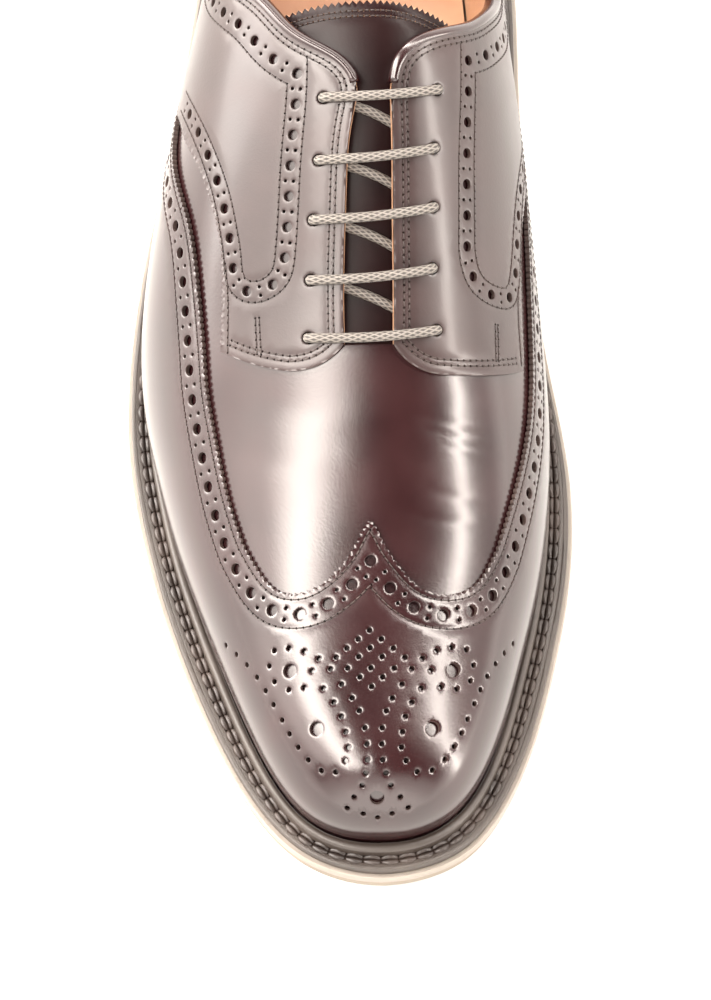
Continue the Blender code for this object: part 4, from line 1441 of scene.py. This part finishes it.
# %% Medallion
# Station of each row, and how far its holes spread to both sides of the middle line in degrees
MEDALLION = (
    (51.6, (0.0,)),
    (49.5, (4.1,)),
    (48.6, (31.2, 38.2)),
    (47.4, (0.0, 8.4, 25.0, 57.0)),
    (45.3, (4.3, 12.8, 19.6, 43.2)),
    (50.9, (62.2,)),
    (54.4, (68.4,)),
    (42.6, (0.0, 8.8, 15.6, 23.4)),
    (43.7, (53.0,)),
    (41.4, (43.0,)),
    (40.4, (4.4,)),
    (40.0, (50.4,)),
    (38.8, (12.0, 28.6, 36.4)),
    (38.1, (0.0, 20.0)),
    (36.3, (48.6,)),
    (35.4, (8.3,)),
    (34.6, (16.5,)),
    (32.3, (5.8, 46.8)),
    (31.1, (14.2,)),
    (28.8, (45.6,)),
    (28.2, (4.0,)),
    (27.4, (13.4,)),
    (25.4, (43.6,)),
    (24.4, (3.7,)),
    (23.8, (13.6,)),
    (22.2, (40.6,)),
    (20.8, (4.2, 17.0)),
    (19.4, (34.8,)),
    (18.6, (25.2,)),
    (17.9, (6.2,)),
    (15.5, (9.9,)),
    (13.7, (18.4,)),
    (12.4, (28.6,)),
    (11.4, (14.8,)),
    (10.9, (0.0,)),
)
MEDALLION_MIDDLE = 91.0
MEDALLION_PIN = 0.72
MEDALLION_ROUNDS = ((43.2, 33.4), (28.7, 28.0), (13.4, 0.0))
MEDALLION_PUNCH = 1.75


def medallion_holes():
    holes = []
    marks = [(station, spread, MEDALLION_PIN, 9) for station, spreads in MEDALLION for spread in spreads]
    marks += [(station, spread, MEDALLION_PUNCH, 16) for station, spread in MEDALLION_ROUNDS]
    for station, spread_angle, radius, sides in marks:
        for sign in (1.0, -1.0) if spread_angle else (1.0,):
            angle = math.radians(MEDALLION_MIDDLE + sign * spread_angle)
            holes.append((to_flat(float(walk_of(station)), angle), radius, sides))
    return holes


# %% Make the wing
brown_stitches = Builder()
wing_seams = []
wing_holes = medallion_holes()
for side in ("lateral", "medial"):
    for distance in (WING_EDGE_SEAM, WING_OUTER_SEAM):
        wing_seams.append(wing_line(side, distance))
    row = wing_line(side, WING_PUNCH_LINE)
    found = punched_row(row, PUNCH_PITCH, WING_PUNCH, WING_PIN)
    wing_holes += found[1:] if side == "medial" else found
wing_needles = [needle_points(seam) for seam in wing_seams]
for row in wing_needles:
    sew(brown_stitches, row)
wing_holes += needle_holes(wing_needles)
wing = leather_panel(
    "long_wing", [last_outline], [above_wing], wing_holes, wing_seams, 0.0, OVERLAY, oxblood, raw_edge,
)
dress(wing, "oxblood_leather", "wing_cap")

# %% [markdown]
# ## Quarters and facings
# Each quarter carries a U of perforated strip down the facing, across and up along its pinked rear
# edge, one more strip under the collar, two rows of stitches round the facing and the collar, and
# five eyelet holes. The bottom edge of the facing is turned in, so it is smooth.

# %% Quarter lines
# The middle of each perforated strip, as stations and angles in degrees
QUARTER_RUN = {
    "lateral": (
        (190.0, 112.0), (183.0, 111.3), (173.7, 110.6), (167.2, 110.6), (160.0, 110.9), (152.0, 111.0),
        (144.0, 111.0), (136.0, 111.4), (131.6, 113.0), (130.0, 116.4), (130.2, 120.6), (132.4, 124.2),
        (138.6, 126.2), (145.5, 128.0), (152.0, 130.4), (158.4, 133.8), (164.7, 138.2), (171.1, 143.6),
        (176.8, 149.4), (184.0, 158.0),
    ),
    "medial": (
        (194.0, 52.0), (188.0, 52.6), (181.4, 53.0), (175.6, 53.4), (169.0, 54.2), (162.2, 55.0),
        (156.0, 55.6), (150.0, 56.0), (143.2, 56.6), (137.4, 56.4), (133.6, 53.6), (132.6, 49.0),
        (133.2, 43.0), (135.0, 38.2), (139.0, 35.0), (146.7, 31.7), (153.4, 29.0), (162.4, 24.2),
        (170.0, 18.0), (178.0, 9.5),
    ),
}
STRIP_HALF = 2.55
STRIP_PUNCH = 1.3
STRIP_PIN = 0.46
STRIP_PAIR = 1.05
EYELET = 1.55
FIRST_ROW = 2.3
SECOND_ROW = 3.6
COLLAR_PUNCH_LINE = 8.1
COLLAR_LOWER_SEAM = 11.3
FACING_CORNER = 6.5
TAB = {
    "lateral": ((124.2, 119.3), (116.2, 119.1), (124.1, 118.2), (116.0, 117.9)),
    "medial": ((126.4, 45.4), (118.0, 45.8), (126.2, 46.6), (117.8, 47.0)),
}
REAR_SEAM = {
    "lateral": ((138.2, 128.4), (131.0, 127.4), (124.0, 127.5), (118.4, 127.9)),
    "medial": ((139.0, 32.6), (133.0, 34.0), (126.0, 34.2), (120.6, 34.0)),
}
COLLAR_START = {"lateral": 174.0, "medial": 176.0}


def quarter_outline(side):
    """The facing's inner edge, its bottom edge, and the lower edge that runs back under the wing."""
    top = table_line(QUARTER, QUARTER_COLUMNS, side + "_top", 300)
    low = table_line(QUARTER, QUARTER_COLUMNS, side + "_low", 300)
    start = QUARTER[0][0]
    station = np.interp(low[:, 0], FINE, FINE_STATION)
    fade = np.clip(1.0 - (station - start) / 60.0, 0.0, 1.0)
    low[:, 0] = walk_of(station + fade * FACING_SWEEP)
    share = np.linspace(0.0, 1.0, 40)
    first = np.radians(QUARTER[0][QUARTER_COLUMNS.index(side + "_top")])
    final = np.radians(QUARTER[0][QUARTER_COLUMNS.index(side + "_low")])
    bottom = to_flat(walk_of(start + FACING_SWEEP * share ** 2), first + (final - first) * share)
    return top, bottom, low


def round_corner(first, second, reach):
    """Two chart lines that meet in a corner, joined by a soft curve in its place."""
    corner = second[0]
    before = first[np.linalg.norm(first - corner, axis=1) > reach]
    after = second[np.linalg.norm(second - corner, axis=1) > reach]
    share = np.linspace(0.0, 1.0, 14)[1:-1, None]
    curve = (1.0 - share) ** 2 * before[-1] + 2.0 * share * (1.0 - share) * corner + share ** 2 * after[0]
    return np.concatenate([before, curve, after])


def beyond(line, walk_limit):
    return line[line[:, 0] >= walk_limit]


def meet(first, second):
    """Both chart lines from the place where they cross to their ends."""
    for i in range(len(first) - 1):
        a, b = first[i], first[i + 1]
        run = b - a
        away = second - a
        turn = run[0] * away[:, 1] - run[1] * away[:, 0]
        for j in np.nonzero(turn[:-1] * turn[1:] < 0.0)[0]:
            share = turn[j] / (turn[j] - turn[j + 1])
            place = second[j] + share * (second[j + 1] - second[j])
            along = np.dot(place - a, run) / np.dot(run, run)
            if 0.0 <= along <= 1.0:
                return (np.concatenate([place[None, :], first[i + 1:]]),
                        np.concatenate([place[None, :], second[j + 1:]]))
    return first, second


def inside_all(points, keep, cut):
    points = np.array(points)
    good = np.ones(len(points), bool)
    for polygon in keep:
        good &= inside(points, polygon)
    for polygon in cut:
        good &= ~inside(points, polygon)
    return good


def make_quarter(side):
    into = -1.0 if side == "medial" else 1.0
    top, bottom, low = quarter_outline(side)
    pinked = gimped(low, SCALLOP_PITCH, SCALLOP_DEPTH, -into)
    outline = np.concatenate([round_corner(top[::-1], bottom, FACING_CORNER), pinked[1:]])
    edge_limit = float(walk_of(118.0))
    rim = table_line(OPENING, OPENING_COLUMNS, side, 400)
    facing = np.concatenate([top[top[:, 0] < edge_limit], beyond(rim, edge_limit)])
    turned = round_corner(facing[::-1], bottom[:-3], FACING_CORNER)
    seams = [beside(turned, -into * distance) for distance in (FIRST_ROW, SECOND_ROW)]
    run = smooth_line(QUARTER_RUN[side], 400)
    collar = beyond(facing, float(walk_of(COLLAR_START[side])))
    collar_row, collar_seam, collar_holes = [
        beside(collar, into * distance) for distance in (SECOND_ROW, COLLAR_LOWER_SEAM, COLLAR_PUNCH_LINE)
    ]
    front_seam, back_seam = beside(run, STRIP_HALF), beside(run, -STRIP_HALF)
    if side == "medial":
        front_seam, back_seam = back_seam, front_seam
    front_seam = meet(front_seam, collar_row)[0]
    back_seam, collar_seam = meet(back_seam, collar_seam)
    run, collar_holes = meet(run, collar_holes)
    seams += [front_seam, back_seam, collar_seam, smooth_line(REAR_SEAM[side], 40)]
    tab = TAB[side]
    seams += [smooth_line(tab[:2], 12), smooth_line(tab[2:], 12)]
    strip_holes = punched_row(run, PUNCH_PITCH, STRIP_PUNCH, STRIP_PIN, pair=STRIP_PAIR)
    strip_holes += punched_row(collar_holes, PUNCH_PITCH, STRIP_PUNCH, STRIP_PIN, pair=STRIP_PAIR)[1:]
    stations = column(LACES, LACE_COLUMNS, side + "_station")
    angles = column(LACES, LACE_COLUMNS, side + "_angle")
    eyelets = [
        (to_flat(float(walk_of(station)), math.radians(angle)), EYELET, 16)
        for station, angle in zip(stations, angles)
    ]
    needles = [needle_points(seam) for seam in seams]
    for row in needles:
        sew(brown_stitches, row)
    holes = strip_holes + eyelets + needle_holes(needles)
    clear = [beside(wing_edge[name], -INTO_WING[name] * WING_LAP) for name in ("lateral", "medial")]
    above = np.concatenate([clear[0], clear[1][::-1]])
    safe = inside_all([hole[0] for hole in holes], [outline, above], [mouth])
    holes = [hole for hole, good in zip(holes, safe) if good]
    return leather_panel(
        "quarter_leather_" + side, [outline, last_outline, above], [mouth], holes, seams, 0.0, OVERLAY,
        facing_leather, raw_edge,
    ), eyelets


all_eyelets = []
for side in ("lateral", "medial"):
    quarter, eyelets = make_quarter(side)
    dress(quarter, "oxblood_leather", "quarter_" + side)
    all_eyelets += eyelets

# %% [markdown]
# ## Vamp and lining
# Under the overlays lies one hollow wall: vamp leather outside, tan lining inside. The vamp bends
# where the foot bends, so a few soft creases cross it between the facings and the wing.

# %% Vamp
# Each crease is a run of stations and angles in degrees, with its depth and width in millimetres
CREASES = (
    (((104.0, 60.0), (101.0, 74.0), (100.0, 88.0), (101.0, 102.0), (104.5, 116.0)), 0.05, 4.2),
    (((94.0, 124.0), (91.0, 112.0), (91.5, 100.0)), 0.04, 3.4),
    (((101.6, 76.0), (100.6, 66.0), (101.4, 52.0)), 0.030, 1.3),
    (((98.6, 72.0), (97.6, 63.0), (98.4, 50.0)), 0.034, 1.3),
    (((95.8, 67.0), (95.0, 59.0), (96.0, 46.0)), 0.026, 1.3),
    (((85.0, 71.0), (84.1, 63.0), (84.8, 52.0)), 0.026, 1.4),
    (((79.0, 78.0), (78.2, 68.0), (78.8, 56.0)), 0.028, 1.5),
)
creases = [(smooth_line(rows, 60), depth, width) for rows, depth, width in CREASES]
vamp = leather_panel(
    "vamp_and_lining", [last_outline], [mouth], all_eyelets, [], WALL_OUT, WALL, oxblood, lining,
    spacing=2.2, folds=creases,
)
dress(vamp, "oxblood_leather", "upper")

# %% [markdown]
# ## Tongue
# The tongue lies deeper than the facings, and its leather is darkened as painted shade for that deep slit.
# Its upper edge is pinked with small teeth and sewn twice.

# %% Tongue
TOOTH_PITCH = 2.0
TOOTH_DEPTH = 1.0
TONGUE_ROW_DISTANCES = (2.6, 4.0)


def toothed(line, pitch, depth, side):
    count = int(round(run_lengths(line)[-1] / pitch)) * 2
    length = run_lengths(line)
    places = np.linspace(0.0, length[-1], count + 1)
    even = np.stack([np.interp(places, length, line[:, axis]) for axis in (0, 1)], axis=1)
    return beside(even, side * depth * (np.arange(count + 1) % 2))


def make_tongue():
    medial = table_line(TONGUE_ROWS, TONGUE_COLUMNS, "medial")
    lateral = table_line(TONGUE_ROWS, TONGUE_COLUMNS, "lateral")
    share = np.linspace(0.0, 1.0, 60)[:, None]
    top_line = medial[-1] + (lateral[-1] - medial[-1]) * share
    teeth = toothed(top_line, TOOTH_PITCH, TOOTH_DEPTH, 1.0)
    outline = np.concatenate([medial, teeth[1:-1], lateral[::-1]])
    seams = [beside(top_line[3:-3], distance) for distance in TONGUE_ROW_DISTANCES]
    needles = [needle_points(seam, 1.6) for seam in seams]
    for row in needles:
        sew(brown_stitches, row, -TONGUE_DEEP)
    station = column(TONGUE_ROWS, TONGUE_COLUMNS, "station")
    deep = fair_cubic(station, column(TONGUE_ROWS, TONGUE_COLUMNS, "depth"))

    def lift(walk):
        return -deep(np.interp(walk, FINE, FINE_STATION))

    return leather_panel(
        "tongue_leather_painted_shade", [outline], [], needle_holes(needles), seams, lift, TONGUE, tongue_leather_painted_shade, lining,
    )


dress(make_tongue(), "oxblood_leather", "tongue")

# %% [markdown]
# ## Binding and insole
# A soft roll of leather binds the collar and covers the raw edges of quarter and lining.


# %% Collar binding
BINDING_IN = 0.55
BINDING_HALF_WIDTH = 1.5
BINDING_HALF_HEIGHT = 2.05
BINDING_LIFT = -1.75


def make_binding():
    halves = []
    for side, into in (("medial", -1.0), ("lateral", 1.0)):
        rim = beyond(table_line(OPENING, OPENING_COLUMNS, side, 400), float(walk_of(171.0)))
        halves.append(beside(rim, into * BINDING_IN))
    line = np.concatenate([halves[0], halves[1][::-1]])
    line = spaced(line, 1.2, whole=True)
    walk, angle = from_flat(line)
    _, _, normal = tangents(walk, angle)
    points = last_surface(walk, angle) + BINDING_LIFT * normal
    builder = Builder()
    builder.tube(points, BINDING_HALF_WIDTH, 20, BINDING_HALF_HEIGHT / BINDING_HALF_WIDTH, normal)
    return builder.finish("collar_binding", oxblood)


dress(make_binding(), "oxblood_leather")

# %% [markdown]
# ## Sole, welt and heel
# Below the leather come a storm welt with an upright ridge, the cream midsole, the rubber outsole
# and the stacked heel. All of them are rings round the same outline.

# %% Ring solids
SOLE_SIDE = 150


def ring_mesh(name, rings, material, closed_section=True, rungs=False, open_front=False):
    """A loop-shaped solid through rings of equal size, or a slab between its first and last ring."""
    size = len(rings[0])
    faces = []
    levels = len(rings) if closed_section else len(rings) - 1
    for level in range(levels):
        following = (level + 1) % len(rings)
        for i in range(size):
            j = (i + 1) % size
            faces.append((level * size + i, level * size + j, following * size + j, following * size + i))
    if rungs:
        pairs = [(i, size - 1 - i) if open_front else (i, -i % size) for i in range(size // 2 + 1)]
        for base in (0, (len(rings) - 1) * size):
            for (a, b), (c, d) in zip(pairs, pairs[1:]):
                corners = []
                for corner in (a, c, d, b):
                    if base + corner not in corners:
                        corners.append(base + corner)
                if len(corners) > 2:
                    faces.append(tuple(corners))
    mesh = bpy.data.meshes.new(name)
    mesh.from_pydata(world_points(np.concatenate(rings)).tolist(), [], faces)
    form = bmesh.new()
    form.from_mesh(mesh)
    bmesh.ops.recalc_face_normals(form, faces=form.faces[:])
    form.to_mesh(mesh)
    form.free()
    mesh.shade_smooth()
    mesh.set_sharp_from_angle(angle=math.radians(38.0))
    mesh.materials.append(material)
    thing = bpy.data.objects.new(name, mesh)
    bpy.context.scene.collection.objects.link(thing)
    print(name, "has", len(faces), "faces")
    return thing


def slab(name, section, material):
    """A slab whose edge follows (inset, height) steps."""
    rings = [sole_ring(inset, height, SOLE_SIDE) for inset, height in section]
    return ring_mesh(name, rings, material, closed_section=False, rungs=True)


outsole_section = (
    (OUTSOLE_STEP + 0.9, 0.0), (OUTSOLE_STEP + 0.3, 0.2), (OUTSOLE_STEP, 0.8),
    (OUTSOLE_STEP, OUTSOLE - 0.5), (OUTSOLE_STEP + 0.35, OUTSOLE),
)
dress(slab("outsole_edge", outsole_section, rubber), "beige_rubber", "outsole")
midsole_low = OUTSOLE + GAP * 0.5
midsole_section = (
    (0.5, midsole_low), (0.12, midsole_low + 0.25), (0.0, midsole_low + 0.7),
    (0.0, midsole_low + MIDSOLE - 0.5), (0.3, midsole_low + MIDSOLE + 0.1),
)
dress(slab("midsole_edge", midsole_section, cream), "cream_midsole", "midsole")


# %% Heel
def heel_ring(inset, height, count=61):
    lateral, medial = [resample(side, count) for side in sole_sides(inset, BREAST)]
    ring = np.concatenate([lateral, medial[-2::-1]])
    ring[:, 2] = height
    return ring


HEEL_LIFTS = 4
LIFT_GROOVE = 0.16


def make_heel():
    piece = [heel_ring(HEEL_TAPER + 0.3, 0.0), heel_ring(HEEL_TAPER, 0.3)]
    piece += [heel_ring(HEEL_TAPER, TOP_PIECE - 0.25), heel_ring(HEEL_TAPER + 0.25, TOP_PIECE)]
    rubber_piece = ring_mesh("heel_top_piece", piece, rubber, False, True, True)
    dress(rubber_piece, "beige_rubber", "top_piece")
    low = TOP_PIECE + GAP
    high = HEEL_HEIGHT - GAP
    step = (high - low) / HEEL_LIFTS
    rings = []
    for number in range(HEEL_LIFTS):
        base = low + number * step
        inset = HEEL_TAPER - (HEEL_TAPER - 0.9) * number / HEEL_LIFTS
        rings.append(heel_ring(inset + LIFT_GROOVE, base))
        rings.append(heel_ring(inset, base + 0.25))
        rings.append(heel_ring(inset, base + step - 0.25))
        rings.append(heel_ring(inset + LIFT_GROOVE, base + step - 0.02))
    stack = ring_mesh("heel_lifts", rings, heel_leather, False, True, True)
    dress(stack, "stacked_heel", "heel_stack")


make_heel()


# %% Welt
RIDGE_WIDTH = 2.4
RIDGE_TOP = WELT_FLANGE + WELT_RIDGE + GAP
GROOVE_DEPTH = 0.5


def welt_frames():
    foot = last_ring(GAP, WELT_CLEAR, SOLE_SIDE)
    waist = last_ring(WELT_FLANGE, WELT_CLEAR, SOLE_SIDE)
    head = last_ring(RIDGE_TOP, WELT_CLEAR, SOLE_SIDE)
    edge = sole_ring(WELT_STEP, BED + GAP, SOLE_SIDE)
    outward = edge - foot
    outward[:, 2] = 0.0
    outward /= np.linalg.norm(outward, axis=1, keepdims=True)
    return foot, waist, head, edge, outward


def welt_place(share, height):
    """A ring between the ridge's foot and the welt's edge, at a height over the welt's lower face."""
    ridge_foot = head + RIDGE_WIDTH * outward
    ring = ridge_foot + (edge - ridge_foot) * share
    ring[:, 2] = bed(ring[:, 1]) + GAP + height
    return ring


foot, waist, head, edge, outward = welt_frames()


def make_welt():
    rings = [foot, waist, head]
    radius = RIDGE_WIDTH / 2.0
    for turn in np.linspace(150.0, 0.0, 7):
        lean = math.radians(turn)
        ring = head + (radius + radius * math.cos(lean)) * outward
        ring[:, 2] = head[:, 2] + 0.75 * radius * (math.sin(lean) - 0.5)
        rings.append(ring)
    flange = (
        (0.02, WELT_FLANGE - 0.2), (0.08, WELT_FLANGE - GROOVE_DEPTH), (0.45, WELT_FLANGE - GROOVE_DEPTH),
        (0.52, WELT_FLANGE - 0.06), (0.58, WELT_FLANGE), (0.72, WELT_FLANGE), (0.745, WELT_FLANGE - 0.1),
        (0.77, WELT_FLANGE), (0.9, WELT_FLANGE), (0.97, WELT_FLANGE - 0.15), (1.0, WELT_FLANGE - 0.5),
        (1.0, 0.0),
    )
    rings += [welt_place(share, height) for share, height in flange]
    return ring_mesh("storm_welt", rings, welt_leather)


dress(make_welt(), "dark_welt", "welt")

# %% [markdown]
# ## Welt stitch
# Thick waxed thread locks the welt to the soles in a chain of paired strands that lies in the groove.

# %% Chain stitch
CHAIN_PITCH = 4.3
CHAIN_STRAND = 0.8
CHAIN_SPREAD = 0.78


def make_chain():
    line = welt_place(0.26, WELT_FLANGE - GROOVE_DEPTH + 0.45)
    line = np.concatenate([line, line[:1]])
    steps = np.linalg.norm(np.diff(line, axis=0), axis=1)
    length = np.concatenate([[0.0], np.cumsum(steps)])
    count = int(round(length[-1] / CHAIN_PITCH))
    shares = np.array([-0.56, -0.42, -0.2, 0.05, 0.3, 0.5])
    widths = np.array([0.35, 0.8, 1.0, 1.0, 0.75, 0.4])
    heights = np.array([-0.55, -0.1, 0.18, 0.2, -0.1, -0.5])
    drift = np.array([0.2, 0.7, 1.0, 1.0, 0.8, 0.3])
    builder = Builder()
    for number in range(count):
        middle = (number + 0.5) * length[-1] / count
        places = (middle + shares * length[-1] / count) % length[-1]
        centre = np.stack([np.interp(places, length, line[:, axis]) for axis in range(3)], axis=1)
        run = np.gradient(centre, axis=0)
        run[:, 2] = 0.0
        run /= np.linalg.norm(run, axis=1, keepdims=True)
        aside = np.stack([-run[:, 1], run[:, 0], 0.0 * run[:, 0]], axis=1)
        for sign in (-1.0, 1.0):
            path = centre + sign * CHAIN_SPREAD * drift[:, None] * aside
            path[:, 2] += heights
            builder.tube(path, CHAIN_STRAND * widths, 8, 0.85)
    return builder.finish("welt_chain_stitch", welt_thread)


dress(make_chain(), "dark_welt")

# %% [markdown]
# ## Laces
# One round waxed cord runs in five straight bars over the facings. Under them it climbs from each
# inner eyelet to the next outer one, so short diagonals show in the gap above the tongue.

# %% Lace
LACE_RADIUS = LACE / 2.0
LACE_STEP = 0.6
LACE_SIDES = 12
UNDER_LIFT = -4.7


def lace_path():
    rows = []

    def add(station, angle, lift):
        rows.append((float(walk_of(station)), math.radians(angle), lift))

    first = LACES[0]
    top = LACES[-1]
    add(top[0] - 2.0, top[1] + 6.0, UNDER_LIFT)
    for share in (0.85, 0.6, 0.35, 0.15):
        add(first[0] + (top[0] - first[0]) * share, first[1] + 6.5, UNDER_LIFT)
    add(first[0] + 1.0, first[1] + 3.0, UNDER_LIFT)
    for number, (out_station, out_angle, in_station, in_angle) in enumerate(LACES):
        add(out_station, out_angle + 0.3, UNDER_LIFT + 0.8)
        add(out_station, out_angle + 0.2, -1.4)
        add(out_station - 0.05, out_angle - 0.3, 0.7)
        for share in (0.09, 0.22, 0.38, 0.5, 0.62, 0.78, 0.91):
            dip = 4.0 * share * (1.0 - share)
            station = out_station + (in_station - out_station) * share - 1.6 * dip
            lift = LACE_RADIUS + 0.3 - 0.4 * dip ** 8
            add(station, out_angle + (in_angle - out_angle) * share, lift)
        add(in_station - 0.05, in_angle + 0.3, 0.7)
        add(in_station, in_angle - 0.2, -1.4)
        add(in_station, in_angle - 0.3, UNDER_LIFT + 0.8)
        if number + 1 < len(LACES):
            following = LACES[number + 1]
            for share in (0.15, 0.5, 0.85):
                add(in_station + (following[0] - in_station) * share,
                    in_angle + (following[1] - in_angle) * share, UNDER_LIFT)
    add(top[2] + 1.0, top[3] - 5.0, UNDER_LIFT)
    rows = np.array(rows)
    return on_last(rows[:, 0], rows[:, 1], rows[:, 2])


def make_lace():
    knots = lace_path()
    steps = np.linalg.norm(np.diff(knots, axis=0), axis=1)
    length = np.concatenate([[0.0], np.cumsum(steps)])
    places = np.linspace(0.0, length[-1], int(length[-1] / LACE_STEP))
    path = np.stack([fair_cubic(length, knots[:, axis])(places) for axis in range(3)], axis=1)
    builder = Builder()
    builder.tube(path, LACE_RADIUS, LACE_SIDES)
    print("length of the lace in mm:", round(float(np.linalg.norm(np.diff(path, axis=0), axis=1).sum())))
    return builder.finish("lace", cord_material)


dress(make_lace(), "waxed_cord", *["lace_bar_%d" % number for number in range(1, len(LACES) + 1)])

# %% Insole and stitches
insole_low = last_ring(GAP, WALL_IN - INSOLE_GAP, 80)
insole_rings = [insole_low.copy() for _ in range(3)]
insole_rings[1][:, 2] += INSOLE - 0.4
insole_rings[2][:, 2] += INSOLE
dress(ring_mesh("insole_sock", insole_rings, lining, False, True), "tan_lining", "insole")
dress(brown_stitches.finish("leather_stitches", thread), "oxblood_leather")
